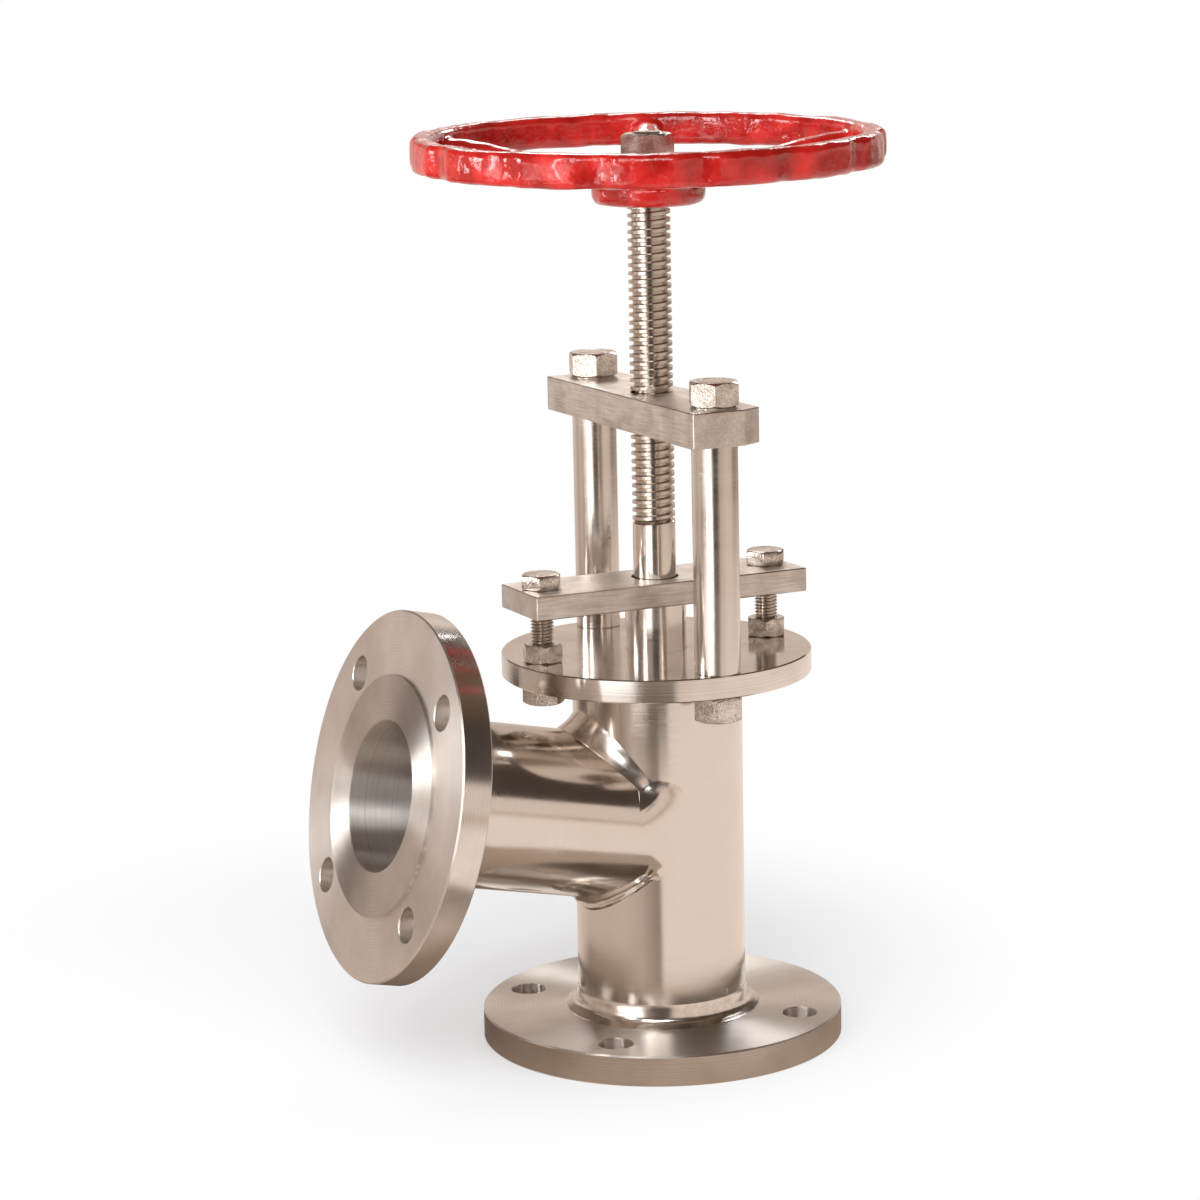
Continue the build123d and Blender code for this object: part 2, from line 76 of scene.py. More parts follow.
def skin(name, rings, loop=False):
    """A mesh through rings of points, with U once round each ring and V across them in metres."""
    count = len(rings[0])
    runs = [0.0]
    for ring, following in zip(rings, rings[1:] + rings[:1]):
        runs.append(runs[-1] + (following[0] - ring[0]).length)
    faces, corners = [], []
    for row in range(len(rings) if loop else len(rings) - 1):
        near = row * count
        far = (row + 1) % len(rings) * count
        for step in range(count):
            beside = (step + 1) % count
            faces.append((near + step, near + beside, far + beside, far + step))
            left, right = step / count, (step + 1) / count
            corners += [left, runs[row], right, runs[row], right, runs[row + 1], left, runs[row + 1]]
    piece = placed(name)
    piece.data.from_pydata([point for ring in rings for point in ring], [], faces)
    piece.data.uv_layers.new(name="UVMap").data.foreach_set("uv", corners)
    work = bmesh.new()
    work.from_mesh(piece.data)
    bmesh.ops.remove_doubles(work, verts=work.verts, dist=0.001 * mm)
    bmesh.ops.recalc_face_normals(work, faces=work.faces)
    work.to_mesh(piece.data)
    work.free()
    crisp(piece)
    return piece


def turned(name, outline, seat=Matrix(), steps=192, loop=False):
    """A turned piece: the outline's points are radius and height over the seat's plane."""
    bearings = [2 * pi * step / steps for step in range(steps)]
    rings = [[seat @ Vector((r * cos(b), r * sin(b), z)) for b in bearings] for r, z in outline]
    return skin(name, rings, loop)


def bored_disc(name, inner, outer, bottom, top, edge):
    """A turned plate with a bore, and its two outer edges broken by this much."""
    outline = [
        (inner, bottom),
        (outer - edge, bottom),
        (outer, bottom + edge),
        (outer, top - edge),
        (outer - edge, top),
        (inner, top),
    ]
    return turned(name, outline, loop=True)


def settle(piece):
    """Turn a piece's modifiers into plain mesh."""
    graph = bpy.context.evaluated_depsgraph_get()
    mesh = bpy.data.meshes.new_from_object(piece.evaluated_get(graph))
    piece.modifiers.clear()
    piece.data = mesh


def cut(piece, cutters):
    """Cut other shapes out of a piece."""
    for cutter in cutters:
        modifier = piece.modifiers.new("cut", "BOOLEAN")
        modifier.object = cutter
        modifier.solver = "EXACT"
    settle(piece)
    crisp(piece)
    for cutter in cutters:
        bpy.data.objects.remove(cutter)


def fit(piece, body, slot, material, *nodes):
    """Give a piece its material and its body, in place of the CAD nodes that it stands for."""
    piece.data.materials.clear()
    piece.data.materials.append(material)
    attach(piece, body)
    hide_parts(*nodes)


def inlay(piece, material, chosen):
    """Give another finish to the faces whose middles are chosen."""
    piece.data.materials.append(material)
    for face in piece.data.polygons:
        if chosen(face.center):
            face.material_index = len(piece.data.materials) - 1


def linear(code):
    """An sRGB hex colour as linear values with alpha."""
    parts = [int(code[place : place + 2], 16) / 255 for place in (1, 3, 5)]
    return [c / 12.92 if c <= 0.04045 else ((c + 0.055) / 1.055) ** 2.4 for c in parts] + [1.0]


def add_node(tree, kind, inputs=None, **settings):
    """Add a node, set its settings, and give each input a value, a socket or a node's first output."""
    node = tree.nodes.new(kind)
    for name, value in settings.items():
        setattr(node, name, value)
    for name, value in (inputs or {}).items():
        if isinstance(value, bpy.types.Node):
            value = value.outputs[0]
        if isinstance(value, bpy.types.NodeSocket):
            tree.links.new(value, node.inputs[name])
        else:
            node.inputs[name].default_value = value
    return node


def blank(name):
    """A new material, its empty node tree, and the place on the piece for its patterns."""
    material = bpy.data.materials.new(name)
    material.use_nodes = True
    tree = material.node_tree
    tree.nodes.clear()
    return material, tree, add_node(tree, "ShaderNodeTexCoord").outputs["Object"]


def two_tone(tree, pattern, dark, light, low=0.0, high=1.0):
    """A colour that goes from dark to light as the pattern goes from low to high."""
    share = add_node(tree, "ShaderNodeMapRange", {"Value": pattern, "From Min": low, "From Max": high})
    tones = {0: share, 6: linear(dark), 7: linear(light)}
    return add_node(tree, "ShaderNodeMix", tones, data_type="RGBA").outputs[2]


def stainless(tree, colour, sheen, shine, relief, depth, spread=0.0, low=0.0, high=1.0):
    """Bare stainless steel, whose roughness goes over the range of shine as the sheen goes from low to high.

    Spread pulls the highlights out across grooves that run round the piece.
    """
    rough = add_node(
        tree, "ShaderNodeMapRange",
        {"Value": sheen, "From Min": low, "From Max": high, "To Min": shine[0], "To Max": shine[1]},
    )
    bump = add_node(tree, "ShaderNodeBump", {"Height": relief, "Distance": depth, "Strength": 1.0})
    surface = {"Base Color": colour, "Metallic": 1.0, "Roughness": rough, "Normal": bump}
    if spread:
        tangent = add_node(tree, "ShaderNodeTangent", direction_type="UV_MAP", uv_map="UVMap")
        surface.update({"Anisotropic": spread, "Anisotropic Rotation": 0.25, "Tangent": tangent})
    shader = add_node(tree, "ShaderNodeBsdfPrincipled", surface)
    add_node(tree, "ShaderNodeOutputMaterial", {"Surface": shader})


def turned_steel(name, ring_pitch, shine, spread, depth=0.004 * mm):
    """Rings of the turning tool round the face: real ones are about 0.2 mm apart, drawn coarser to show."""
    material, tree, place = blank(name)
    unrolled = add_node(tree, "ShaderNodeUVMap", uv_map="UVMap")
    across = add_node(tree, "ShaderNodeSeparateXYZ", {"Vector": unrolled}).outputs[1]
    turns = add_node(tree, "ShaderNodeMath", {0: across, 1: 1 / ring_pitch}, operation="MULTIPLY")
    rings = add_node(
        tree, "ShaderNodeTexNoise", {"W": turns, "Scale": 1.0, "Detail": 4.0, "Roughness": 0.65},
        noise_dimensions="1D",
    )
    cloud = add_node(tree, "ShaderNodeTexNoise", {"Vector": place, "Scale": 1 / (30 * mm), "Detail": 3.0})
    both = add_node(tree, "ShaderNodeMath", {0: cloud, 1: rings}, operation="ADD")
    colour = two_tone(tree, both, "#CFC6BE", "#EBE6E1", 0.7, 1.3)
    stainless(tree, colour, rings, (shine - 0.06, shine + 0.08), rings, depth, spread)
    return material


face_steel = turned_steel("face turned stainless steel", 0.9 * mm, shine=0.38, spread=0.95)
rim_steel = turned_steel("turned flange rim", 0.45 * mm, shine=0.17, spread=0.5, depth=0.003 * mm)
mounts = {mount["name"]: mount for mount in frame["record"]["mounts"]}
bolt_pattern = mounts["tank_flange_bolts"]["dims"]
bolt_circle = bolt_pattern["pcd_mm"] * mm
bolt_hole_radius = bolt_pattern["hole_r_mm"] * mm
bolt_count = bolt_pattern["count"]
first_bolt = 45
flange_radius = max(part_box("tank_flange")[1].xy)
flange_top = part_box("tank_flange")[1].z
pipe_radius = max(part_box("body_pipe")[1].xy)
socket_radius = max(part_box("seat_ring")[1].xy)
edge = 0.8 * mm


def bolt_cutters(seat, bottom, top):
    """Drills for a flange's bolt holes, with a small countersink at both faces."""
    sink = 0.5 * mm
    spare = 2 * mm
    outline = [
        (0, bottom - spare),
        (bolt_hole_radius + sink + spare, bottom - spare),
        (bolt_hole_radius, bottom + sink),
        (bolt_hole_radius, top - sink),
        (bolt_hole_radius + sink + spare, top + spare),
        (0, top + spare),
    ]
    drills = []
    for number in range(bolt_count):
        bearing = radians(first_bolt + 360 / bolt_count * number)
        place = Matrix.Translation((bolt_circle / 2 * cos(bearing), bolt_circle / 2 * sin(bearing), 0))
        drills.append(turned("drill", outline, seat @ place, steps=48))
    return drills


def finish_rim(piece, seat, bottom, top):
    """Give a flange's rim its own finish, as it was turned with a slower feed than the faces."""
    away = seat.inverted()

    def on_rim(middle):
        local = away @ middle
        return hypot(local.x, local.y) > flange_radius - 0.2 * mm and bottom < local.z < top

    inlay(piece, rim_steel, on_rim)


tank_flange = bored_disc("tank_flange_turned", socket_radius, flange_radius, 0, flange_top, edge)
cut(tank_flange, bolt_cutters(Matrix(), 0, flange_top))
fit(tank_flange, "valve_body", "turned_steel", face_steel, "tank_flange")
finish_rim(tank_flange, Matrix(), 0, flange_top)


# Seat and plug: the seat ring, the disc with its let-in seal, and the screwed retainer that traps the
# stem's collar. All are turned. From below, ring and disc show as one flat face, flush with the tank.
def seat_steel():
    """Fine turned steel on the carried-over nodes: rings worked out from the distance to the stem's axis."""
    material, tree, place = blank("fine turned stainless steel")
    flat = add_node(tree, "ShaderNodeVectorMath", {0: place, 1: (1, 1, 0)}, operation="MULTIPLY")
    radius = add_node(tree, "ShaderNodeVectorMath", {0: flat}, operation="LENGTH").outputs[1]
    ring_pitch = 0.7 * mm
    turns = add_node(tree, "ShaderNodeMath", {0: radius, 1: 1 / ring_pitch}, operation="MULTIPLY")
    rings = add_node(
        tree, "ShaderNodeTexNoise", {"W": turns, "Scale": 1.0, "Detail": 3.0}, noise_dimensions="1D"
    )
    stainless(tree, linear("#D8D2CC"), rings, (0.16, 0.32), rings, 0.003 * mm)
    return material


def seal_plastic():
    """White fluoroplastic, machined: waxy, with a faint mottle."""
    material, tree, place = blank("machined white fluoroplastic")
    mottle = add_node(tree, "ShaderNodeTexNoise", {"Vector": place, "Scale": 1 / (2 * mm)})
    rough = add_node(tree, "ShaderNodeMapRange", {"Value": mottle, "To Min": 0.4, "To Max": 0.55})
    surface = {"Base Color": linear("#ECEAE4"), "Roughness": rough, "Subsurface Weight": 0.1}
    shader = add_node(tree, "ShaderNodeBsdfPrincipled", surface)
    add_node(tree, "ShaderNodeOutputMaterial", {"Surface": shader})
    return material


def dress(node, material):
    """Give a carried-over CAD node a better material."""
    mesh = frame["nodes"][node].data
    mesh.materials.clear()
    mesh.materials.append(material)


inner_steel = seat_steel()
for node in ("seat_ring", "plug_disc", "plug_retainer"):
    dress(node, inner_steel)
dress("plug_seal", seal_plastic())


# Body pipe: thick stainless pipe, polished with a belt that ran round it, so its highlights stay sharp
# side to side. It stands in the tank flange and is open to the outlet pipe.
def buffed_steel(name, seat=Matrix(), shine=0.13, streak=0.7 * mm, depth=0.0035 * mm, tone="#E6DFD8"):
    """Belt polished pipe: fine scratches round the pipe, and a slow waviness along it."""
    material, tree, place = blank(name)
    turn = seat.to_3x3().inverted().to_euler()
    local = add_node(tree, "ShaderNodeMapping", {"Vector": place, "Rotation": turn})
    long_way = 22 * mm
    stretch = add_node(
        tree, "ShaderNodeVectorMath", {0: local, 1: (1 / long_way, 1 / long_way, 1 / streak)},
        operation="MULTIPLY",
    )
    scratches = add_node(
        tree, "ShaderNodeTexNoise", {"Vector": stretch, "Scale": 1.0, "Detail": 5.0, "Roughness": 0.62}
    )
    cloud = add_node(tree, "ShaderNodeTexNoise", {"Vector": place, "Scale": 1 / (28 * mm), "Detail": 4.0})
    both = add_node(tree, "ShaderNodeMath", {0: scratches, 1: cloud}, operation="MULTIPLY")
    wave = add_node(tree, "ShaderNodeMath", {0: cloud, 1: 9.0, 2: scratches}, operation="MULTIPLY_ADD")
    colour = two_tone(tree, cloud, "#D6CDC4", tone)
    stainless(tree, colour, both, (shine - 0.04, shine + 0.12), wave, depth, low=0.1, high=0.45)
    return material


body_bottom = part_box("body_pipe")[0].z
body_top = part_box("body_pipe")[1].z
pipe_wall = 5.49 * mm
pipe_inside = pipe_radius - pipe_wall
outlet_bore_radius = 39 * mm
outlet_end = Vector(mounts["outlet_flange_bolts"]["pos_m"])
outlet_way = Vector(mounts["outlet_flange_bolts"]["axis"]).normalized()
outlet_length = outlet_end.x / outlet_way.x
outlet_start = outlet_end - outlet_way * outlet_length
across_way = Vector((0, 1, 0))
over_way = outlet_way.cross(across_way)
outlet_turn = Matrix((across_way, over_way, outlet_way)).transposed().to_4x4()
outlet_seat = Matrix.Translation(outlet_start) @ outlet_turn
bore_reach = 80 * mm
body_outline = [
    (pipe_radius, body_bottom),
    (pipe_radius, body_top),
    (pipe_inside, body_top),
    (pipe_inside, body_bottom),
]
body_pipe = turned("body_pipe_polished", body_outline, loop=True)
bore_outline = [(0, 0), (outlet_bore_radius, 0), (outlet_bore_radius, bore_reach), (0, bore_reach)]
cut(body_pipe, [turned("bore", bore_outline, outlet_seat)])
pipe_steel = buffed_steel("belt polished stainless pipe")
fit(body_pipe, "valve_body", "pipe_steel", pipe_steel, "body_pipe")


# Weld at the foot of the body: a fillet laid in two passes, then ground and polished.
# Its toes are still felt as soft lines, and the wheel has left it slightly wavy.
def weld_steel():
    """Polished weld metal: a little lumpy, with a faint straw heat tint."""
    material, tree, place = blank("ground and polished weld")
    lumps = add_node(tree, "ShaderNodeTexNoise", {"Vector": place, "Scale": 1 / (5 * mm), "Detail": 5.0})
    colour = two_tone(tree, lumps, "#D8CDC2", "#E6DFD8", 0.35, 0.6)
    stainless(tree, colour, lumps, (0.12, 0.28), lumps, 0.018 * mm)
    return material


polished_weld = weld_steel()
weld_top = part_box("tank_flange_weld")[1].z
weld_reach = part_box("tank_flange_weld")[1].x
weld_height = weld_top - flange_top
weld_width = weld_reach - pipe_radius
weld_root = 0.2 * mm
weld_outline = [(pipe_radius - weld_root, flange_top - weld_root), (pipe_radius - weld_root, weld_top)]
weld_steps = 14
for step in range(weld_steps + 1):
    turn = pi / 2 * step / weld_steps
    ridge = 0.35 * mm * sin(2 * turn) * sin(6 * turn)
    out = pipe_radius + weld_width * (1 - cos(turn)) + ridge + 0.15 * mm
    weld_outline.append((out, flange_top + weld_height * (1 - sin(turn)) + ridge + 0.1 * mm))
weld_outline.append((weld_reach, flange_top - weld_root))
tank_flange_weld = turned("tank_flange_weld_polished", weld_outline, loop=True)
for vertex in tank_flange_weld.data.vertices:
    shift = noise.noise(vertex.co * 50) * 0.2 * mm
    outward = Vector((vertex.co.x, vertex.co.y, 0)).normalized()
    vertex.co += outward * shift
fit(tank_flange_weld, "valve_body", "weld_steel", polished_weld, "tank_flange_weld")


# Outlet pipe: the same polished pipe, saddle cut to the body and let into its flange. Its bore is
# machined, and the boring bar's rings spread the light along it.
outlet_radius = 43.2 * mm
flange_thickness = flange_top
pipe_socket_depth = 8 * mm
back = outlet_length - flange_thickness
front = outlet_length


def saddle_point(bearing, radius, body_radius):
    """Where a line along the outlet, at this radius and bearing, meets a cylinder round the stem's axis."""
    offset = radius * (across_way * cos(bearing) + over_way * sin(bearing))
    run = (sqrt(body_radius**2 - offset.y**2) + offset.x) / -outlet_way.x
    return outlet_start + offset + outlet_way * run


pipe_steps = 192
walls = []
for radius in (outlet_radius, outlet_bore_radius):
    bearings = [2 * pi * step / pipe_steps for step in range(pipe_steps)]
    saddle = [saddle_point(b, radius, pipe_radius) for b in bearings]
    foot = back + pipe_socket_depth
    walls.append((saddle, [outlet_seat @ Vector((radius * cos(b), radius * sin(b), foot)) for b in bearings]))
outer_wall, inner_wall = walls
outlet_pipe = skin("outlet_pipe_polished", [*outer_wall, *reversed(inner_wall)], loop=True)
outlet_steel = buffed_steel("belt polished outlet pipe", outlet_seat, shine=0.12)
bored_steel = turned_steel("bored stainless pipe", 1.1 * mm, shine=0.42, spread=1.0, depth=0.012 * mm)


def in_bore(middle):
    """Whether a point is on the wall of the outlet's bore."""
    offset = middle - outlet_start
    return (offset - outlet_way * offset.dot(outlet_way)).length < outlet_bore_radius + 0.1 * mm


fit(outlet_pipe, "valve_body", "pipe_steel", outlet_steel, "outlet_pipe")
inlay(outlet_pipe, bored_steel, in_bore)


# Weld round the saddle: one bead run round the joint, then ground to a round hollow and polished bright.
# The bead's two toes stand a hair proud of the pipes, and its passes still show under the outlet.
branch_radius = 9 * mm
flush_reach = 29 * mm
flatness = 0.7
joint_steps = 288
bead_steps = 12
bead_ends_at = 0.83
toe = 0.16 * mm
bead_root = 0.4 * mm


def blend_radius(bearing):
    """Radius of the ball that fits the joint: the weld's own, or larger where the joint is ground flush."""
    side = cos(bearing) ** 2
    bend = pipe_radius - outlet_radius * side
    short = flush_reach**2 - pipe_radius**2 + outlet_radius**2 * side
    if short <= 0:
        return branch_radius
    return max(branch_radius, short / (bend + sqrt(bend**2 + (1 - side) * short)))


bead_rings = [[] for _ in range(bead_steps + 4)]
for step in range(joint_steps):
    bearing = 2 * pi * step / joint_steps
    radius = blend_radius(bearing)
    side = across_way * cos(bearing) + over_way * sin(bearing)
    centre = saddle_point(bearing, outlet_radius + radius, pipe_radius + radius)
    on_outlet = centre - side * radius
    on_body = centre - Vector((centre.x, centre.y, 0)).normalized() * radius
    start = (on_outlet - centre).normalized()
    end = (on_body - centre).normalized()
    opening = start.angle(end)
    ground = 1 - branch_radius / radius
    under = max(0.0, sin(bearing)) * (1 - ground)
    bead_end = max(0.0, 1 - abs(abs(cos(bearing)) - bead_ends_at) / 0.05)
    bead_rings[0].append(on_outlet + start * 0.3 * mm)
    for place in range(bead_steps + 1):
        share = place / bead_steps
        direction = (start * sin((1 - share) * opening) + end * sin(share * opening)) / sin(opening)
        hollow_point = centre + direction * radius
        flat_point = on_outlet.lerp(on_body, share)
        flat_share = flatness * max(0.0, 1 - 3 * ground)
        lumps = noise.noise(centre * 90 + Vector((0, 0, share * 1.5)))
        proud = toe * (1 - 0.85 * ground) + 0.16 * mm * lumps * (1 - 0.8 * ground)
        proud += 0.9 * mm * bead_end * sin(pi * share) * (0.6 + noise.noise(centre * 30))
        proud += 0.45 * mm * under * noise.noise(centre * 140 + Vector((share, 0, 0)))
        proud -= 0.8 * mm * under * cos(4 * pi * share)
        bead_rings[place + 1].append(hollow_point.lerp(flat_point, flat_share) - direction * proud)
    bead_rings[-2].append(on_body + end * 0.3 * mm)
    bead_rings[-1].append(saddle_point(bearing, outlet_radius - bead_root, pipe_radius - bead_root))


def ground_flush(middle):
    """Whether a point is where the joint is ground flush with both pipes."""
    offset = middle - outlet_start
    return blend_radius(atan2(offset.dot(over_way), offset.dot(across_way))) > 1.5 * branch_radius


branch_weld = skin("branch_weld_polished", bead_rings, loop=True)
fit(branch_weld, "valve_body", "weld_steel", polished_weld, "branch_weld")
inlay(branch_weld, pipe_steel, ground_flush)


# Outlet flange: turned like the tank flange, with a raised sealing face round the bore. Behind it a
# fillet weld of fine ripples joins it to the pipe.
raised_radius = 62.5 * mm
raised_height = 1.6 * mm
outlet_flange = turned(
    "outlet_flange_turned",
    [
        (outlet_bore_radius, back + pipe_socket_depth),
        (outlet_radius, back + pipe_socket_depth),
        (outlet_radius, back),
        (flange_radius - edge, back),
        (flange_radius, back + edge),
        (flange_radius, front - edge),
        (flange_radius - edge, front),
        (raised_radius, front),
        (raised_radius - 0.4 * mm, front + raised_height),
        (outlet_bore_radius + 0.5 * mm, front + raised_height),
        (outlet_bore_radius, front + raised_height - 0.5 * mm),
    ],
    outlet_seat,
    loop=True,
)
cut(outlet_flange, bolt_cutters(outlet_seat, back, front))
outlet_face_steel = turned_steel("face turned outlet flange", 0.6 * mm, shine=0.36, spread=0.7)
raised_face_steel = turned_steel("coarse turned sealing face", 0.8 * mm, shine=0.48, spread=1.0)
fit(outlet_flange, "valve_body", "turned_steel", outlet_face_steel, "outlet_flange")
finish_rim(outlet_flange, outlet_seat, back, front)
from_outlet = outlet_seat.inverted()
inlay(outlet_flange, raised_face_steel, lambda middle: (from_outlet @ middle).z > front + raised_height / 2)
inlay(outlet_flange, bored_steel, in_bore)

flange_weld_size = 4 * mm
ripple = 0.2 * mm
flange_weld_outline = [(outlet_radius - weld_root, back + weld_root)]
for step in range(9):
    turn = pi / 2 * step / 8
    bulge = flange_weld_size * (0.25 + 0.75 * (1 - (abs(step - 4) / 4) ** 2 * 0.3))
    flange_weld_outline.append((outlet_radius + bulge * cos(turn), back - bulge * sin(turn)))
outlet_flange_weld = turned("outlet_flange_weld_bead", flange_weld_outline, outlet_seat, loop=True)
for vertex in outlet_flange_weld.data.vertices:
    local = from_outlet @ vertex.co
    vertex.co -= outlet_way * abs(ripple * sin(atan2(local.y, local.x) * 90 + local.z / mm))
fit(outlet_flange_weld, "valve_body", "weld_steel", polished_weld, "outlet_flange_weld")


# Bonnet plate: a thick round plate welded on the body, faced and polished until it mirrors what stands on
# it. Its drilled holes take the pillars' ends and the gland bolts. The stuffing box is a tube under it.
def holes(places, radius, bottom, top):
    """Plain drills for holes at these places."""
    outline = [(0, bottom - mm), (radius, bottom - mm), (radius, top + mm), (0, top + mm)]
    return [turned("drill", outline, Matrix.Translation((x, y, 0)), steps=48) for x, y in places]


plate_bottom, plate_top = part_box("bonnet_plate")[0].z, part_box("bonnet_plate")[1].z
plate_radius = max(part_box("bonnet_plate")[1].xy)
plate_edge = 0.6 * mm
box_bore_radius = 16.2 * mm
bolt_x = (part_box("gland_bolt_right")[0].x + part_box("gland_bolt_right")[1].x) / 2
bolt_clearance_radius = 6.25 * mm
pillar_y = (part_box("pillar_rear")[0].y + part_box("pillar_rear")[1].y) / 2
pillar_clearance_radius = 8.25 * mm
bonnet_plate = bored_disc(
    "bonnet_plate_polished", box_bore_radius, plate_radius, plate_bottom, plate_top, plate_edge
)
plate_holes = holes([(0, pillar_y), (0, -pillar_y)], pillar_clearance_radius, plate_bottom, plate_top)
plate_holes += holes([(bolt_x, 0), (-bolt_x, 0)], bolt_clearance_radius, plate_bottom, plate_top)
cut(bonnet_plate, plate_holes)
plate_steel = turned_steel(
    "faced and polished plate", 0.7 * mm, shine=0.12, spread=0.3, depth=0.0015 * mm
)
fit(bonnet_plate, "valve_body", "plate_steel", plate_steel, "bonnet_plate")

bonnet_weld_size = 4 * mm
bonnet_weld = turned(
    "bonnet_weld_bead",
    [
        (pipe_radius - weld_root, plate_bottom + 0.1 * mm),
        (pipe_radius + bonnet_weld_size, plate_bottom + 0.1 * mm),
        (pipe_radius + 0.75 * bonnet_weld_size, plate_bottom - 0.35 * bonnet_weld_size),
        (pipe_radius + 0.35 * bonnet_weld_size, plate_bottom - 0.75 * bonnet_weld_size),
        (pipe_radius, plate_bottom - bonnet_weld_size),
        (pipe_radius - weld_root, plate_bottom - bonnet_weld_size),
    ],
    loop=True,
)
fit(bonnet_weld, "valve_body", "weld_steel", polished_weld, "bonnet_weld")


def packing_braid():
    """Square braided packing: strands crossing at a slant, greyish white."""
    material, tree, place = blank("square braided packing")
    strand = 1.6 * mm
    weave = add_node(
        tree, "ShaderNodeTexWave", {"Vector": place, "Scale": 0.3 / strand, "Distortion": 2.0},
        bands_direction="DIAGONAL",
    ).outputs["Fac"]
    colour = two_tone(tree, weave, "#A8A294", "#D8D4C6")
    bump = add_node(tree, "ShaderNodeBump", {"Height": weave, "Distance": 0.3 * mm})
    surface = {"Base Color": colour, "Roughness": 0.85, "Normal": bump}
    shader = add_node(tree, "ShaderNodeBsdfPrincipled", surface)
    add_node(tree, "ShaderNodeOutputMaterial", {"Surface": shader})
    return material


dress("stuffing_box", inner_steel)
dress("packing_washer", inner_steel)
braid = packing_braid()
for number in range(1, 5):
    dress(f"packing_ring_{number}", braid)


# Gland: a turned sleeve round the stem, pressed down on the packing by a sawn and line brushed flat bar.
# The bar is held by two bolts, and one of its corners is cut off.
def brushed_steel(name, along):
    """Line brushed bar: straight scratches along it. Real ones are 0.1 mm wide, drawn at 0.8 mm to show."""
    material, tree, place = blank(name)
    line = 0.8 * mm
    scale = [1 / line, 1 / line, 1 / line]
    scale[along] = 1 / (20 * mm)
    stretch = add_node(tree, "ShaderNodeVectorMath", {0: place, 1: scale}, operation="MULTIPLY")
    lines = add_node(
        tree, "ShaderNodeTexNoise", {"Vector": stretch, "Scale": 1.0, "Detail": 3.0, "Roughness": 0.6}
    )
    cloud = add_node(tree, "ShaderNodeTexNoise", {"Vector": place, "Scale": 1 / (14 * mm), "Detail": 4.0})
    both = add_node(tree, "ShaderNodeMath", {0: lines, 1: cloud}, operation="ADD")
    colour = two_tone(tree, both, "#B8AEA4", "#E2DBD4", 0.75, 1.25)
    stainless(tree, colour, both, (0.31, 0.48), lines, 0.02 * mm, spread=0.15, low=0.6, high=1.4)
    return material


def planed(name, node, along):
    """A flat bar from its CAD node: a merged copy, with U across each face and V along the bar."""
    piece = placed(name, frame["nodes"][node].data.copy())
    work = bmesh.new()
    work.from_mesh(piece.data)
    bmesh.ops.remove_doubles(work, verts=work.verts, dist=0.01 * mm)
    layer = work.loops.layers.uv.get("UVMap") or work.loops.layers.uv.new("UVMap")
    long_way = Vector([1.0 if axis == along else 0.0 for axis in range(3)])
    for face in work.faces:
        side = face.normal.cross(long_way)
        if side.length < 0.1:
            side = Vector((0, 0, 1))
        side.normalize()
        run = side.cross(face.normal)
        for corner in face.loops:
            corner[layer].uv = (corner.vert.co.dot(side), corner.vert.co.dot(run))
    work.to_mesh(piece.data)
    work.free()
    crisp(piece, angle=15)
    return piece


gland_bar = planed("gland_bar_brushed", "gland_bar", along=0)
fit(gland_bar, "valve_body", "bar_steel", brushed_steel("line brushed gland bar", along=0), "gland_bar")

stem_radius = 11.1 * mm
sleeve_bottom, sleeve_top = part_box("gland_sleeve")[0].z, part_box("gland_sleeve")[1].z
sleeve_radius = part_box("gland_sleeve")[1].x
sleeve_bore_radius = stem_radius + 0.3 * mm
sleeve_outline = [
    (sleeve_bore_radius, sleeve_bottom),
    (sleeve_radius, sleeve_bottom),
    (sleeve_radius, sleeve_top),
    (sleeve_bore_radius, sleeve_top),
]
gland_sleeve = turned("gland_sleeve_turned", sleeve_outline, loop=True)
round_steel = buffed_steel("bright drawn stainless bar", shine=0.14, streak=0.9 * mm, depth=0.0025 * mm)
fit(gland_sleeve, "valve_body", "round_bar_steel", round_steel, "gland_sleeve")


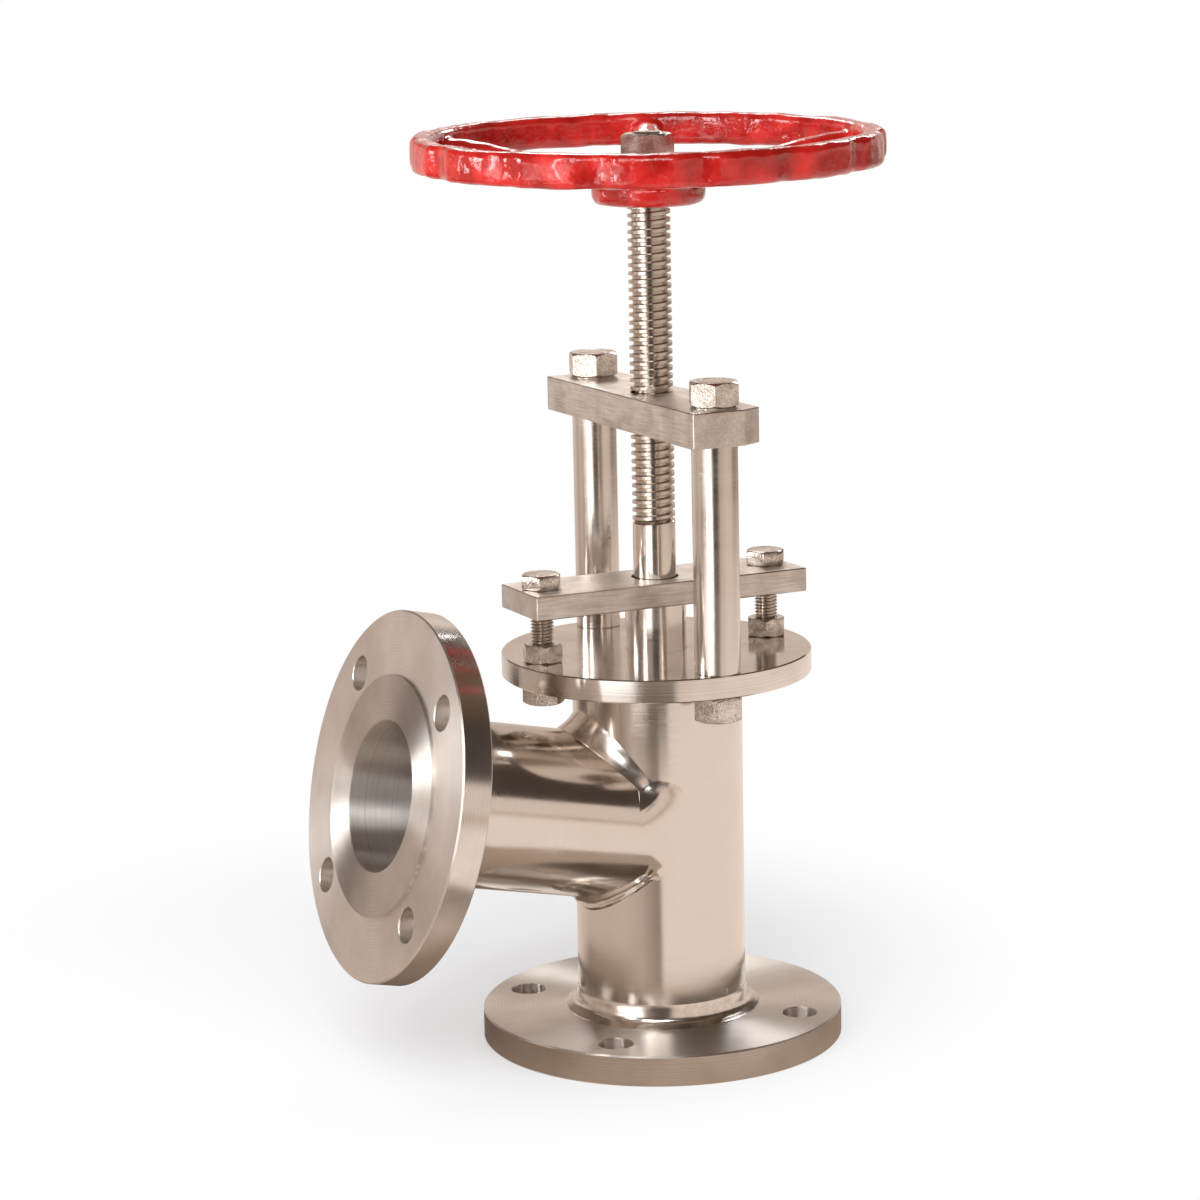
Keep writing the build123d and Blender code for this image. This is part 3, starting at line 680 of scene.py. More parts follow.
# Screw threads: the gland bolts have a fine sixty degree thread, the stem a coarse trapezoidal one with
# six turns to the inch. One node tree winds both: four rows of points to a turn follow crest and root.
def thread_tree():
    """Geometry nodes for a threaded tube that starts and ends as a plain round bar."""
    tree = bpy.data.node_groups.new("thread", "GeometryNodeTree")
    tree.interface.new_socket("Geometry", in_out="OUTPUT", socket_type="NodeSocketGeometry")
    for name in ("Radius", "Depth", "Pitch", "Start", "End", "Crest", "Flank"):
        tree.interface.new_socket(name, in_out="INPUT", socket_type="NodeSocketFloat")
    tree.interface.new_socket("Columns", in_out="INPUT", socket_type="NodeSocketInt")
    tree.interface.new_socket("Material", in_out="INPUT", socket_type="NodeSocketMaterial")
    known = {socket.name: socket for socket in add_node(tree, "NodeGroupInput").outputs}
    spot = add_node(tree, "GeometryNodeInputPosition")
    apart = add_node(tree, "ShaderNodeSeparateXYZ", {"Vector": spot})
    known["across"], known["up"] = apart.outputs[0], apart.outputs[1]
    # Each step names its result, and takes numbers or what an input or an earlier step gave.
    steps = (
        ("length", "SUBTRACT", "End", "Start"),
        ("turns", "DIVIDE", "length", "Pitch"),
        ("turns", "CEIL", "turns"),
        ("rows", "MULTIPLY_ADD", "turns", 4.0, 9.0),
        ("columns", "ADD", "Columns", 1.0),
        ("around", "ADD", "across", 0.5),
        ("last row", "SUBTRACT", "rows", 1.0),
        ("row", "ADD", "up", 0.5),
        ("row", "MULTIPLY", "row", "last row"),
        ("row", "ROUND", "row"),
        ("whole", "ADD", "row", 0.1),
        ("whole", "DIVIDE", "whole", 4.0),
        ("whole", "FLOOR", "whole"),
        ("part", "MULTIPLY", "whole", 4.0),
        ("part", "SUBTRACT", "row", "part"),
        ("after crest", "GREATER_THAN", "part", 0.5),
        ("after crest", "MULTIPLY", "after crest", "Crest"),
        ("after flank", "GREATER_THAN", "part", 1.5),
        ("after flank", "MULTIPLY", "after flank", "Flank"),
        ("flanks", "MULTIPLY", "Flank", 2.0),
        ("root", "SUBTRACT", 1.0, "Crest"),
        ("root", "SUBTRACT", "root", "flanks"),
        ("after root", "GREATER_THAN", "part", 2.5),
        ("after root", "MULTIPLY", "after root", "root"),
        ("share", "ADD", "after crest", "after flank"),
        ("share", "ADD", "share", "after root"),
        ("risen", "SUBTRACT", "whole", 1.0),
        ("risen", "ADD", "risen", "share"),
        ("risen", "ADD", "risen", "around"),
        ("height", "MULTIPLY_ADD", "risen", "Pitch", "Start"),
        ("height", "MAXIMUM", "height", "Start"),
        ("height", "MINIMUM", "height", "End"),
        ("above", "SUBTRACT", "height", "Start"),
        ("wound", "DIVIDE", "above", "Pitch"),
        ("wound", "SUBTRACT", "wound", "around"),
        ("phase", "ADD", "wound", 4.0),
        ("phase", "FRACT", "phase"),
        ("down flank", "SUBTRACT", "phase", "Crest"),
        ("down flank", "DIVIDE", "down flank", "Flank"),
        ("up flank", "SUBTRACT", 1.0, "phase"),
        ("up flank", "DIVIDE", "up flank", "Flank"),
        ("run in", "MULTIPLY", "Pitch", 0.6),
        ("fade in", "DIVIDE", "above", "run in"),
        ("left", "SUBTRACT", "End", "height"),
        ("run out", "MULTIPLY", "Pitch", 0.25),
        ("fade out", "DIVIDE", "left", "run out"),
        ("sunk", "MINIMUM", "down flank", "up flank"),
        ("sunk", "MULTIPLY", "sunk", "fade in"),
        ("sunk", "MULTIPLY", "sunk", "fade out"),
        ("sunk", "MULTIPLY", "sunk", "Depth"),
        ("radius", "SUBTRACT", "Radius", "sunk"),
        ("turn", "MULTIPLY", "around", 2 * pi),
        ("x", "COSINE", "turn"),
        ("x", "MULTIPLY", "radius", "x"),
        ("y", "SINE", "turn"),
        ("y", "MULTIPLY", "radius", "y"),
    )
    clamped = ("down flank", "up flank", "fade in", "fade out")
    for name, operation, *values in steps:
        inputs = {number: known.get(value, value) for number, value in enumerate(values)}
        known[name] = add_node(
            tree, "ShaderNodeMath", inputs, operation=operation, use_clamp=name in clamped
        )
    size = {"Size X": 1.0, "Size Y": 1.0, "Vertices X": known["columns"], "Vertices Y": known["rows"]}
    grid = add_node(tree, "GeometryNodeMeshGrid", size)
    place = add_node(tree, "ShaderNodeCombineXYZ", {"X": known["x"], "Y": known["y"], "Z": known["height"]})
    moved = add_node(tree, "GeometryNodeSetPosition", {"Geometry": grid, "Position": place})
    merged = add_node(tree, "GeometryNodeMergeByDistance", {"Geometry": moved, "Distance": 0.002 * mm})
    real = add_node(tree, "GeometryNodeRealizeInstances", {"Geometry": merged})
    painted = add_node(tree, "GeometryNodeSetMaterial", {"Geometry": real, "Material": known["Material"]})
    add_node(tree, "NodeGroupOutput", {"Geometry": painted})
    return tree


winding = thread_tree()


def threaded(name, material, place=(0, 0), **sizes):
    """A threaded length of bar as plain mesh."""
    piece = placed(name)
    modifier = piece.modifiers.new("thread", "NODES")
    modifier.node_group = winding
    values = {**sizes, "Material": material}
    for item in winding.interface.items_tree:
        if item.in_out == "INPUT":
            modifier[item.identifier] = values[item.name]
    settle(piece)
    piece.data.transform(Matrix.Translation((*place, 0)))
    return piece


def threaded_steel(name="rolled stainless thread", shine=0.2):
    """Rolled or cut thread: bright crests, and painted shade in the roots, darker where the thread hides
    them.
    """
    material, tree, place = blank(name)
    grain = add_node(tree, "ShaderNodeTexNoise", {"Vector": place, "Scale": 1 / (1.5 * mm), "Detail": 4.0})
    # Painted shade: the colour darkens in the roots, where ambient occlusion finds the thread hidden.
    hollow = add_node(tree, "ShaderNodeAmbientOcclusion", {"Distance": 2.5 * mm}, samples=6)
    colour = two_tone(tree, hollow.outputs["AO"], "#8E7F70", "#D2C8BE", 0.2, 0.75)
    stainless(tree, colour, grain, (shine - 0.08, shine + 0.12), grain, 0.02 * mm)
    return material


thread_steel = threaded_steel()


# Nuts and bolt heads: cold forged hexagons, bevelled by a cone at both ends. Each is turned as its
# spanner left it, and the yoke's nuts have a washer face below.
def forged_steel():
    """Cold forged hex pieces: flats slightly orange-peeled, so that they glitter a little."""
    material, tree, place = blank("forged stainless hexagon")
    peel = add_node(tree, "ShaderNodeTexNoise", {"Vector": place, "Scale": 1 / (0.9 * mm), "Detail": 3.0})
    patch = add_node(tree, "ShaderNodeTexNoise", {"Vector": place, "Scale": 1 / (7 * mm), "Detail": 3.0})
    both = add_node(tree, "ShaderNodeMath", {0: peel, 1: patch}, operation="ADD")
    colour = two_tone(tree, both, "#ACA094", "#EAE4DE", 0.75, 1.25)
    stainless(tree, colour, patch, (0.16, 0.32), peel, 0.085 * mm)
    return material


def joined(name, pieces, angle=30, touch=0.003 * mm):
    """Several meshes as one, with what touches merged."""
    work = bmesh.new()
    for piece in pieces:
        work.from_mesh(piece.data)
        bpy.data.objects.remove(piece)
    if touch:
        bmesh.ops.remove_doubles(work, verts=work.verts, dist=touch)
        bmesh.ops.recalc_face_normals(work, faces=work.faces)
    whole = placed(name)
    work.to_mesh(whole.data)
    work.free()
    crisp(whole, angle)
    return whole


def hexagon(name, centre, bottom, flats, height, bearing, bore=0.0, washer=0.0):
    """A hex nut, or a hex head where there is no bore."""
    flat_radius = flats / 2
    bevel_radius = 0.95 * flat_radius
    side_steps = 12
    sink = min(1.0 * mm, bore / 2)
    base = bottom + washer
    top = bottom + height
    rings = [[] for _ in range(8)]
    for step in range(6 * side_steps):
        turn = radians(bearing) + 2 * pi * step / (6 * side_steps)
        to_flat = (step % side_steps) / side_steps * pi / 3
        to_flat = min(to_flat, pi / 3 - to_flat)
        reach = flat_radius / cos(to_flat)
        drop = (reach - bevel_radius) * tan(pi / 6)
        outline = [
            (bore / 2, bottom + sink / 2),
            (bore / 2 + sink, bottom),
            (bevel_radius, bottom),
            (bevel_radius, base + 0.01 * mm),
            (reach, base + drop),
            (reach, top - drop),
            (bevel_radius, top),
            (bore / 2 + sink, top),
        ]
        if bore:
            outline.append((bore / 2, top - sink / 2))
        points = [Vector((centre[0] + r * cos(turn), centre[1] + r * sin(turn), z)) for r, z in outline]
        for ring, point in zip(rings, points):
            ring.append(point)
        # The bore's last ring takes most points twice. That twists the bore's wall, and the bar in the
        # bore hides nearly all of it.
        if bore:
            if len(rings) == 8:
                rings.append([])
            rings[8].append(points[8])
    piece = skin(name, rings, loop=bool(bore))
    bevel = piece.modifiers.new("worn edges", "BEVEL")
    bevel.width = 0.22 * mm
    bevel.segments = 2
    bevel.limit_method = "ANGLE"
    bevel.angle_limit = radians(25)
    bevel.harden_normals = True
    settle(piece)
    return piece


def nut(node, centre, flats, bearing, bore, body="valve_body", washer=0.0):
    """A nut in place of its CAD node."""
    low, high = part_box(node)
    piece = hexagon(f"{node}_forged", centre, low.z, flats, high.z - low.z, bearing, bore, washer)
    fit(piece, body, "nut_steel", nut_steel, node)


nut_steel = forged_steel()
bolt_flats = 19 * mm
bolt_radius = 6 * mm
bolt_chamfer = 0.8 * mm
bar_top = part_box("gland_bar")[1].z
bolt_thread = dict(Radius=bolt_radius, Depth=1.0 * mm, Pitch=1.75 * mm, Crest=0.13, Flank=0.31, Columns=48)
for side, x, head_bearing, lock_bearing, base_bearing in (
    ("left", -bolt_x, 31, 43, 14),
    ("right", bolt_x, 28, 32, 25),
):
    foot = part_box(f"gland_bolt_{side}")[0].z
    head_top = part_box(f"gland_bolt_{side}")[1].z
    head = hexagon("head", (x, 0), bar_top, bolt_flats, head_top - bar_top, head_bearing)
    shank = threaded("shank", thread_steel, (x, 0), Start=foot + mm, End=bar_top + mm, **bolt_thread)
    end_outline = [(0, foot), (bolt_radius - bolt_chamfer, foot), (bolt_radius, foot + mm)]
    end = turned("end", end_outline, Matrix.Translation((x, 0, 0)), steps=48)
    bolt = joined(f"gland_bolt_{side}_rolled", [head, shank, end], angle=25)
    fit(bolt, "valve_body", "bolt_steel", thread_steel, f"gland_bolt_{side}")
    inlay(bolt, nut_steel, lambda middle: middle.z > bar_top)
    nut(f"gland_lock_nut_{side}", (x, 0), bolt_flats, lock_bearing, 2 * bolt_radius)
    nut(f"gland_base_nut_{side}", (x, 0), bolt_flats, base_bearing, 2 * bolt_radius)


# Yoke: two pillars of bright round bar, turned down at both ends for nuts, carry a flat bar of
# brushed steel. The bar holds the thread that the stem climbs in.
pillar_radius = 11.75 * mm
pillar_edge = 0.4 * mm
pillar_end_radius = 8 * mm
pillar_chamfer = 0.8 * mm
yoke_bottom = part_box("yoke_bar")[0].z
yoke_flats = 24 * mm
washer_face = 0.8 * mm
pillar_steel = buffed_steel(
    "bright drawn pillar", shine=0.17, streak=0.9 * mm, depth=0.003 * mm, tone="#EAE4DE"
)
for side, y, top_bearing, foot_bearing in (("front", -pillar_y, 36, 33), ("rear", pillar_y, 42, 10)):
    low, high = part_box(f"pillar_{side}")
    pillar = turned(
        f"pillar_{side}_drawn",
        [
            (0, low.z),
            (pillar_end_radius - pillar_chamfer, low.z),
            (pillar_end_radius, low.z + pillar_chamfer),
            (pillar_end_radius, plate_top),
            (pillar_radius - pillar_edge, plate_top),
            (pillar_radius, plate_top + pillar_edge),
            (pillar_radius, yoke_bottom - pillar_edge),
            (pillar_radius - pillar_edge, yoke_bottom),
            (pillar_end_radius, yoke_bottom),
            (pillar_end_radius, high.z - pillar_chamfer),
            (pillar_end_radius - pillar_chamfer, high.z),
            (0, high.z),
        ],
        Matrix.Translation((0, y, 0)),
        steps=96,
    )
    fit(pillar, "valve_body", "round_bar_steel", pillar_steel, f"pillar_{side}")
    nut(f"yoke_nut_{side}", (0, y), yoke_flats, top_bearing, 2 * pillar_end_radius, washer=washer_face)
    nut(f"pillar_base_nut_{side}", (0, y), yoke_flats, foot_bearing, 2 * pillar_end_radius)

yoke_bar = planed("yoke_bar_brushed", "yoke_bar", along=1)
fit(yoke_bar, "valve_body", "bar_steel", brushed_steel("line brushed yoke bar", along=1), "yoke_bar")


# Stem: bright bar with a collar that turns in the disc, a cut trapezoidal thread and a threaded end for
# the wheel's nut. It rises through the packing, the yoke bar and the handwheel's square hole.
stem_steps = 96
stem_foot, stem_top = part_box("stem")[0].z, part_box("stem")[1].z
hub_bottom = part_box("handwheel")[0].z
hub_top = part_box("handwheel_nut")[0].z
collar_radius = 14.5 * mm
collar_thickness = 5 * mm
thread_start = 275 * mm
thread_end = hub_bottom + mm
thread_pitch = 25.4 * mm / 6
stem_end_radius = 8 * mm
centre_drill = 1.6 * mm
stem_steel = threaded_steel("cut trapezoidal thread", shine=0.17)
shank_outline = [
    (0, stem_foot),
    (collar_radius, stem_foot),
    (collar_radius, stem_foot + collar_thickness),
    (stem_radius, stem_foot + collar_thickness),
    (stem_radius, thread_start),
]
shank = turned("shank", shank_outline, steps=stem_steps)
screw = threaded(
    "screw", stem_steel, Radius=stem_radius, Depth=2.1 * mm, Pitch=thread_pitch, Start=thread_start,
    End=thread_end, Crest=0.38, Flank=0.13, Columns=stem_steps,
)
end_outline = [
    (stem_radius, thread_end),
    (stem_end_radius, thread_end),
    (stem_end_radius, stem_top - mm),
    (stem_end_radius - mm, stem_top),
    (centre_drill, stem_top),
    (0, stem_top - centre_drill),
]
wheel_end = turned("wheel_end", end_outline, steps=stem_steps)
stem = joined("stem_screw", [shank, screw, wheel_end], angle=25)
fit(stem, "spindle", "round_bar_steel", stem_steel, "stem")
inlay(stem, round_steel, lambda middle: middle.z < thread_start)


# Handwheel: one iron casting, fettled by hand and painted gloss red. Its rim has finger hollows and leans a
# little, five bent arms run down to the hub, and the paint has pooled and dried uneven.
def red_paint():
    """Thick brushed gloss paint over a sand cast surface."""
    material, tree, place = blank("gloss red paint on sand cast iron")
    cast = add_node(tree, "ShaderNodeTexNoise", {"Vector": place, "Scale": 1 / (8 * mm), "Detail": 2.5})
    pool = add_node(tree, "ShaderNodeTexNoise", {"Vector": place, "Scale": 1 / (16 * mm), "Detail": 3.0})
    height = add_node(tree, "ShaderNodeMath", {0: pool, 1: 1.6, 2: cast}, operation="MULTIPLY_ADD")
    bump = add_node(tree, "ShaderNodeBump", {"Height": height, "Distance": 0.8 * mm})
    rough = add_node(
        tree, "ShaderNodeMapRange",
        {"Value": pool, "From Min": 0.35, "From Max": 0.65, "To Min": 0.14, "To Max": 0.3},
    )
    surface = {
        "Base Color": two_tone(tree, pool, "#920E0B", "#BC1913", 0.36, 0.62),
        "Roughness": rough,
        "Coat Weight": 0.6,
        "Coat Roughness": 0.05,
        "Normal": bump,
    }
    shader = add_node(tree, "ShaderNodeBsdfPrincipled", surface)
    add_node(tree, "ShaderNodeOutputMaterial", {"Surface": shader})
    return material


wheel_radius = 121.5 * mm
rim_height = 17 * mm
rim_width = 12.5 * mm
rim_round = 3.6 * mm
rim_rise = 28.2 * mm
lean = radians(1.4)
low_side = radians(-116.4)
arm_bearing = radians(63.6)
arm_count = 5
valley_count = 15
valley_depth = 3 * mm
valley_half = 13 * mm
rim_steps = 720
lean_axis = Vector((-sin(low_side), cos(low_side), 0))
rim_seat = Matrix.Translation((0, 0, hub_bottom + rim_rise)) @ Matrix.Rotation(lean, 4, lean_axis)

section = []
for corner, (side_r, side_z) in enumerate(((1, -1), (1, 1), (-1, 1), (-1, -1))):
    for step in range(6):
        turn = pi / 2 * (corner - 1) + pi / 2 * step / 5
        out = side_r * (rim_width / 2 - rim_round) + rim_round * cos(turn)
        section.append((out, side_z * (rim_height / 2 - rim_round) + rim_round * sin(turn)))
rim_rings = []
for step in range(rim_steps):
    bearing = 2 * pi * step / rim_steps
    between = (bearing - arm_bearing) % (2 * pi / valley_count)
    between = min(between, 2 * pi / valley_count - between) * wheel_radius
    hollow = valley_depth * (0.5 + 0.5 * cos(pi * min(between / valley_half, 1)))
    ring = []
    for side_r, side_z in section:
        radius = wheel_radius - rim_width / 2 + side_r - hollow * (side_r / rim_width + 0.5)
        ring.append(rim_seat @ Vector((radius * cos(bearing), radius * sin(bearing), side_z)))
    rim_rings.append(ring)
parts = [skin("rim", rim_rings, loop=True)]

arm_width = 15 * mm
arm_thickness = 9 * mm
arm_foot = hub_bottom + 13.5 * mm
arm_steps = 40
arm_sides = 28
arm_start = 15 * mm
arm_end = wheel_radius - rim_width / 2
for number in range(arm_count):
    bearing = arm_bearing + 2 * pi * number / arm_count
    outward = Vector((cos(bearing), sin(bearing), 0))
    sideways = Vector((-sin(bearing), cos(bearing), 0))
    climb = (rim_seat @ (Matrix.Rotation(bearing, 3, "Z") @ Vector((arm_end, 0, 0)))).z - arm_foot
    arm_rings = []
    for step in range(arm_steps + 1):
        share = step / arm_steps
        rise = share * share * (3 - 2 * share)
        centre = outward * (arm_start + (arm_end - arm_start) * share)
        centre.z = arm_foot + climb * rise
        flare = 1 + 0.35 * max(0, 1 - share / 0.3) ** 2 + 0.25 * max(0, (share - 0.85) / 0.15) ** 2
        ring = []
        for place in range(arm_sides):
            turn = 2 * pi * place / arm_sides
            point = centre + sideways * (arm_width / 2 * flare * cos(turn))
            ring.append(point + Vector((0, 0, arm_thickness / 2 * sin(turn))))
        arm_rings.append(ring)
    arm = skin("arm", arm_rings)
    work = bmesh.new()
    work.from_mesh(arm.data)
    bmesh.ops.holes_fill(work, edges=work.edges)
    work.to_mesh(arm.data)
    work.free()
    parts.append(arm)

hub_radius = 29.3 * mm
hub_round = 5 * mm
hub_step = hub_bottom + 11 * mm
hub_step_round = 2 * mm
hub_neck = 21 * mm
hub_edge = 1.5 * mm
hub_square = 16.4 * mm
hub_outline = [(0, hub_bottom)]
for step in range(7):
    turn = pi / 2 * step / 6
    hub_outline.append((hub_radius - hub_round * (1 - sin(turn)), hub_bottom + hub_round * (1 - cos(turn))))
hub_outline += [
    (hub_radius, hub_step - hub_step_round),
    (hub_radius - hub_step_round, hub_step),
    (hub_neck + hub_step_round, hub_step),
    (hub_neck, hub_step + hub_step_round),
    (hub_neck, hub_top - hub_edge),
    (hub_neck - hub_edge, hub_top),
    (0, hub_top),
]
hub = turned("hub", hub_outline, steps=128)
hole = placed("hole")
block = bmesh.new()
bmesh.ops.create_cube(block, size=1)
for vertex in block.verts:
    vertex.co *= hub_square
    vertex.co.z = vertex.co.z * 5 + hub_bottom
block.to_mesh(hole.data)
block.free()
cut(hub, [hole])
parts.append(hub)

handwheel = joined("handwheel_cast", parts, touch=0)
remesh = handwheel.modifiers.new("cast", "REMESH")
remesh.mode = "VOXEL"
remesh.voxel_size = 1.1 * mm
soften = handwheel.modifiers.new("fettled", "SMOOTH")
soften.factor = 0.6
soften.iterations = 5
settle(handwheel)
normals = [vertex.normal.copy() for vertex in handwheel.data.vertices]
for vertex, normal in zip(handwheel.data.vertices, normals):
    lumps = noise.noise(vertex.co * 50) * 0.6 * mm + noise.noise(vertex.co * 130) * 0.3 * mm
    vertex.co += normal * lumps
crisp(handwheel, angle=60)
fit(handwheel, "spindle", "red_paint", red_paint(), "handwheel")
nut("handwheel_nut", (0, 0), yoke_flats, 14, 2 * stem_end_radius, body="spindle")


# Studio: a white sweep with painted shade behind the valve, plain soft light, and painted reflections that
# only the bright
# steel sees: a warm pale floor with a dark gap where the camera stands and a bright panel to its left, under
# a dim warm room.
camera_bearing = 243.6


def studio_tones(tree, direction, stops):
    """A tone for each bearing round the valve, in degrees from the camera's, that closes the circle."""
    apart = add_node(tree, "ShaderNodeSeparateXYZ", {"Vector": direction}).outputs
    angle = add_node(tree, "ShaderNodeMath", {0: apart[1], 1: apart[0]}, operation="ARCTAN2")
    turns = add_node(
        tree, "ShaderNodeMath", {0: angle, 1: 1 / (2 * pi), 2: 1.5 - camera_bearing / 360},
        operation="MULTIPLY_ADD",
    )
    share = add_node(tree, "ShaderNodeMath", {0: turns}, operation="FRACT")
    tones = add_node(tree, "ShaderNodeValToRGB", {"Fac": share})
    stops = {**stops, 180: stops[-180]}
    ramp = tones.color_ramp
    while len(ramp.elements) < len(stops):
        ramp.elements.new(0.5)
    for element, (bearing, colour) in zip(ramp.elements, stops.items()):
        element.position = (bearing + 180) / 360
        element.color = linear(colour)
    return tones


def banded(tree, direction, measure, first, bands):
    """Studio tones in bands: each takes over from the last as the measure goes from its start to its end."""
    tones = studio_tones(tree, direction, first)
    for start, end, stops in bands:
        share = add_node(
            tree, "ShaderNodeMapRange", {"Value": measure, "From Min": start, "From Max": end},
            interpolation_type="SMOOTHSTEP",
        )
        both = {0: share, 6: tones, 7: studio_tones(tree, direction, stops)}
        tones = add_node(tree, "ShaderNodeMix", both, data_type="RGBA").outputs[2]
    return tones


floor_radius = 6.0
floor = placed("floor")
disc = bmesh.new()
bmesh.ops.create_circle(disc, cap_ends=True, segments=64, radius=floor_radius)
disc.to_mesh(floor.data)
disc.free()
material, tree, flat = blank("white paper sweep")
distance = add_node(tree, "ShaderNodeVectorMath", {0: flat}, operation="LENGTH").outputs[1]
# Painted reflections: glossy rays see the floor glow in tones set by bearing and distance, not lit by the
# lamps. The darker tones under the valve and in the nearest rings are a painted shadow of the valve on that
# floor.
pale, beige, dark = "#FFF0E6", "#E0D0C6", "#4E443D"
painted_shadow_under_valve = {
    -180: "#C0AD9E", -125: "#78665A", -85: "#75645A", -40: "#9E8A78", 0: "#BCA694", 40: "#B8A494",
    85: "#9C8878", 125: "#9A8678", 137: "#B8A595",
}
rings = {
    0.16: {
        -180: "#EBDDD2", -126: beige, -105: "#A08C7E", -50: "#A89484", -24: "#CCB9AC", -10: "#AEA094",
        -1: "#A09286", 3: pale, 150: pale,
    },
    0.21: {
        -180: "#EBDDD2", -126: beige, -105: "#D8C3B5", -50: "#DCC8BA", -24: "#CCB9AC", -10: "#AEA094",
        -1: "#A09286", 3: pale, 150: pale,
    },
    0.73: {
        -180: "#EBDDD2", -142: beige, -126: "#4A3C32", -80: "#4A3C32", -60: "#7E6C60", -20: "#86766A",
        -6: "#564C44", 11: "#564C44", 15: pale, 150: pale,
    },
    1.01: {
        -180: "#EBDACF", -126: beige, -100: "#B8A294", -88: "#D0BEB0", -60: "#C4AFA0", -13: "#CCBAAE",
        0: "#C4B2A6", 14: "#D4C4B8", 52: "#F4E4D8", 90: "#F0E0D4", 130: "#F2E2D7",
    },
    1.22: {
        -180: "#EBDACF", -126: beige, -100: "#C2AC9E", -88: "#D7C6B9", -60: "#B49A88", -15: "#8A7A6E",
        -12: dark, 12: dark, 20: "#C9B5A6", 52: "#F4E4D8", 90: "#F0E0D4", 130: "#F2E2D7",
    },
    1.55: {
        -180: "#EBDACF", -126: beige, -100: "#C2AC9E", -88: "#D7C6B9", -60: "#B49A88", -15: "#8A7A6E",
        -12: dark, 12: dark, 20: "#C2AE9F", 60: "#DCC9BA", 84: "#D0BEB0", 94: "#97857A",
        120: "#97857A", 128: "#C4AFA0", 134: "#A89688", 148: "#A89688", 156: "#E4D4C8",
    },
}
bands = [(start * 0.96, start * 1.04, stops) for start, stops in rings.items()]
painted_floor_reflection = banded(tree, flat, distance, painted_shadow_under_valve, bands)
painted_reflection_glow = add_node(tree, "ShaderNodeEmission", {"Color": painted_floor_reflection, "Strength": 1.0})
paper = add_node(tree, "ShaderNodeBsdfDiffuse", {"Color": linear("#F2F2F2")})
# Painted shade: to the camera, the paper near and behind the valve is a greyer colour, fading into white
# emission farther out. It still takes the lamps' real shadows.
painted_shade_paper = add_node(tree, "ShaderNodeBsdfDiffuse", {"Color": linear("#DCDDE0")})
white = add_node(tree, "ShaderNodeEmission", {"Color": (1, 1, 1, 1), "Strength": 1.0})
shade_place = add_node(tree, "ShaderNodeMapping", {"Vector": flat, "Location": (0.05, -0.18, 0)})
shade_reach = add_node(tree, "ShaderNodeVectorMath", {0: shade_place}, operation="LENGTH").outputs[1]
away = add_node(
    tree, "ShaderNodeMapRange",
    {"Value": shade_reach, "From Min": 0.1, "From Max": 0.36, "To Min": 0.1, "To Max": 1.0},
    interpolation_type="SMOOTHSTEP",
)
sweep = add_node(tree, "ShaderNodeMixShader", {0: away, 1: painted_shade_paper, 2: white})
rays = add_node(tree, "ShaderNodeLightPath").outputs
chosen = add_node(tree, "ShaderNodeMixShader", {0: rays["Is Camera Ray"], 1: paper, 2: sweep})
glossy = add_node(tree, "ShaderNodeMixShader", {0: rays["Is Glossy Ray"], 1: chosen, 2: painted_reflection_glow})
add_node(tree, "ShaderNodeOutputMaterial", {"Surface": glossy})
floor.data.materials.append(material)

world = bpy.data.worlds.new("studio")
bpy.context.scene.world = world
world.use_nodes = True
tree = world.node_tree
tree.nodes.clear()
direction = add_node(tree, "ShaderNodeTexCoord").outputs["Generated"]
rise = add_node(tree, "ShaderNodeSeparateXYZ", {"Vector": direction}).outputs[2]
# Painted reflections: only glossy rays see these tones of a warm room with a dark gap where the camera
# stands. The camera sees white, and everything else is lit by the soft tones below.
low_tones = {
    -180: "#D4C3B6", -160: "#DCCCC0", -126: beige, -100: "#A8968A", -55: "#A8968A", -14: "#8C7A6E",
    -12: dark, 10: dark, 14: "#F2E2D7", 150: "#E4D4C8",
}
high_tones = {
    -180: "#EBDDD2", -171: "#E0D0C4", -160: "#8A786C", -126: "#75655A", -100: "#5E4F45", -20: "#5E4F45",
    0: dark, 20: "#4A4039", 140: "#544840", 166: "#544840", 173: "#E0D0C4",
}
ceiling = {
    -180: "#5D5047", 30: "#5D5047", 55: "#463B33", 75: "#463B33", 92: "#6A5948", 125: "#64543F",
    142: "#4A3D34", 166: "#4A3D34", 174: "#6F6156",
}
soft_tones = {-180: "#C4C0BC", -110: "#FFFDFA", -20: "#FFFDFA", 60: "#8C8884", 130: "#84807C"}
painted_room = banded(tree, direction, rise, low_tones, [(0.24, 0.27, high_tones), (0.55, 0.75, ceiling)])
rays = add_node(tree, "ShaderNodeLightPath").outputs
seen = add_node(
    tree, "ShaderNodeMix", {0: rays["Is Glossy Ray"], 6: (1, 1, 1, 1), 7: painted_room}, data_type="RGBA"
)
backdrop = add_node(tree, "ShaderNodeBackground", {"Color": seen.outputs[2], "Strength": 1.0})
soft_light = studio_tones(tree, direction, soft_tones)
light = add_node(tree, "ShaderNodeBackground", {"Color": soft_light, "Strength": 1.25})
either = add_node(
    tree, "ShaderNodeMath", {0: rays["Is Camera Ray"], 1: rays["Is Glossy Ray"]}, operation="MAXIMUM"
)
mixed = add_node(tree, "ShaderNodeMixShader", {0: either, 1: light, 2: backdrop})
add_node(tree, "ShaderNodeOutputWorld", {"Surface": mixed})


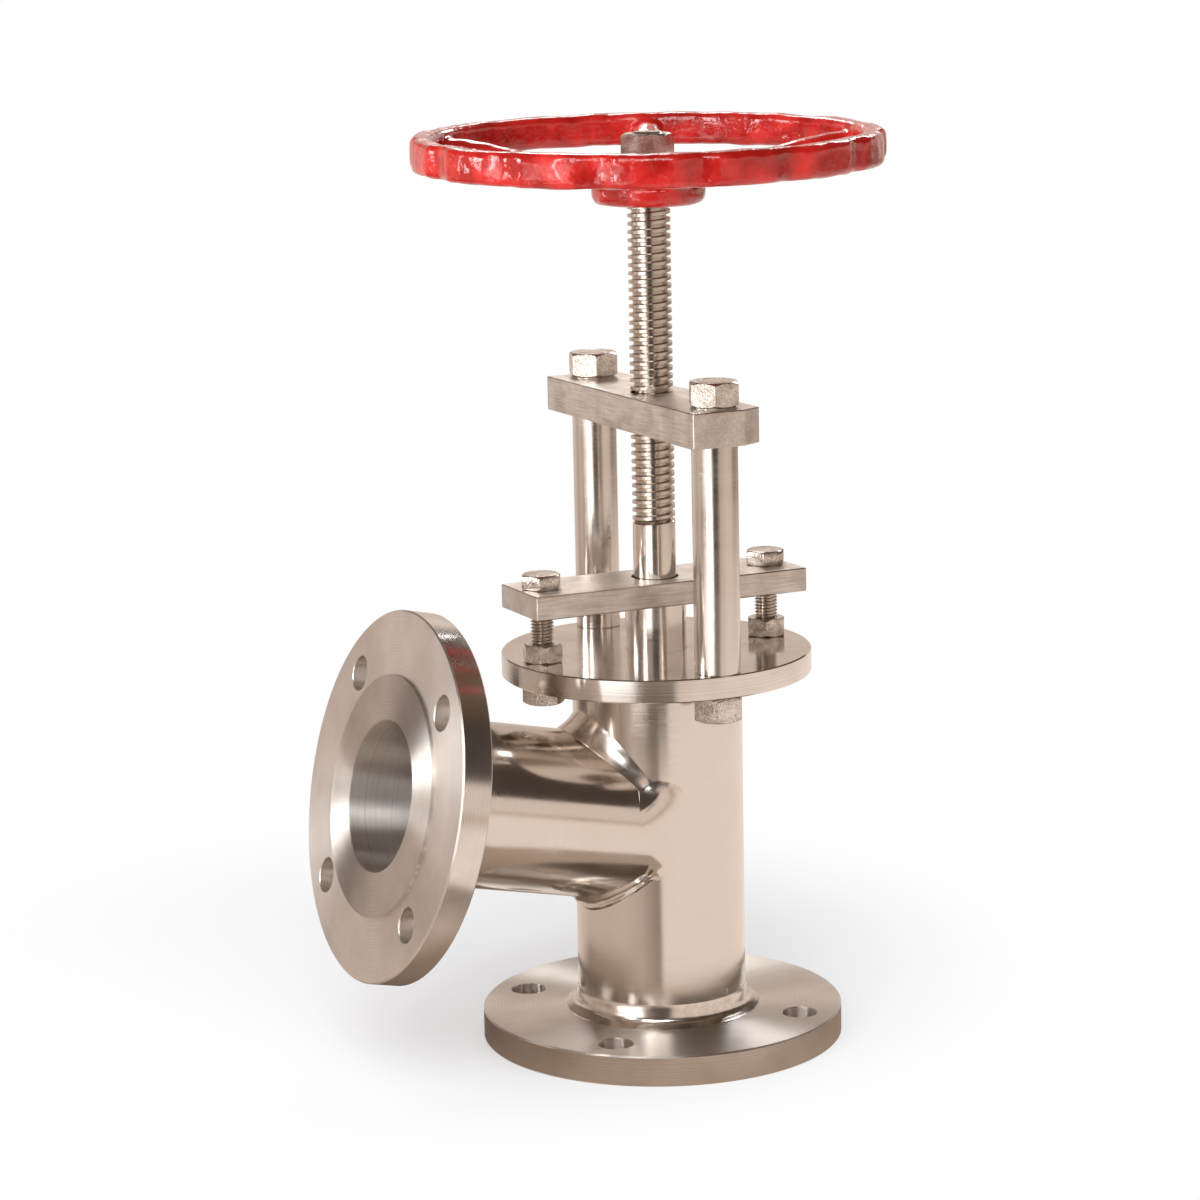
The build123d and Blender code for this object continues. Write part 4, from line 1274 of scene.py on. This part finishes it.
def softbox(name, place, target, width, height, glow, tilt=0):
    """A rectangular softbox aimed at the valve. Glow is how much brighter than white paper it looks."""
    data = bpy.data.lights.new(name, "AREA")
    data.shape = "RECTANGLE"
    data.size = width
    data.size_y = height
    data.energy = glow * pi * width * height
    lamp = placed(name, data)
    lamp.location = place
    aim = (Vector(target) - Vector(place)).to_track_quat("-Z", "Y").to_matrix()
    lamp.rotation_euler = (aim @ Matrix.Rotation(radians(tilt), 3, "Z")).to_euler()
    lamp.visible_camera = False
    return lamp


def around(bearing, distance, height):
    """A place in the studio by its bearing from the camera's side."""
    turn = radians(camera_bearing + bearing)
    return (distance * cos(turn), distance * sin(turn), height)


softbox("softbox_left", (-1.21, 0.362, 0.6), (-0.158, 0, 0.148), 0.36, 0.36, 11)
softbox("narrow_strip_left", around(-42, 1.25, 0.75), (-0.1, 0, 0.2), 0.1, 1.0, 14)
softbox("tall_strip_over_camera", around(-19, 1.2, 1.15), (0, 0, 0.15), 0.36, 1.0, 4.5)
softbox("tilted_softbox_right", around(3, 1.3, 1.14), (0, 0, 0.17), 0.3, 0.5, 6, tilt=40)
softbox("softbox_behind", around(-173, 1.0, 1.1), (0, 0, 0), 0.26, 0.5, 6)
softbox("softbox_right_rear", around(160, 1.01, 0.92), (-0.05, 0, 0.08), 0.3, 0.16, 9)
softbox("low_panel_left", around(-43, 2.2, 0.22), (0, 0, 0.2), 1.5, 0.36, 2.1)


def floor_card(name, bearing, start, end, width, glow):
    """A card that lies on the floor and glows upwards, along a line from under the valve."""
    card = softbox(name, around(bearing, (start + end) / 2, 0.01), (0, 0, 0), end - start, width, glow)
    card.rotation_euler = (pi, 0, radians(camera_bearing + bearing))


floor_card("far_card_on_floor", -28, 1.17, 2.1, 0.8, 2.6)
floor_card("near_card_on_floor", -38, 0.95, 1.14, 0.85, 2.8)


# Camera: at the photograph's viewing angle, a little above the valve and well back.
# Its lens is a long one, as in a product photograph.
camera_data = bpy.data.cameras.new("camera")
camera_data.sensor_width = 36
camera_data.lens = 107.472
camera = placed("camera", camera_data)
right = Vector((0.9005765, -0.43423231, -0.02010638))
up = Vector((0.10194003, 0.1660024, 0.98084221))
forward = Vector((0.42257567, 0.88537309, -0.19376351))
camera_turn = Matrix((right, up, -forward)).transposed().to_4x4()
camera.matrix_world = Matrix.Translation((-0.816118, -1.642835, 0.596552)) @ camera_turn
bpy.context.scene.camera = camera
bpy.context.scene.view_settings.view_transform = "Standard"
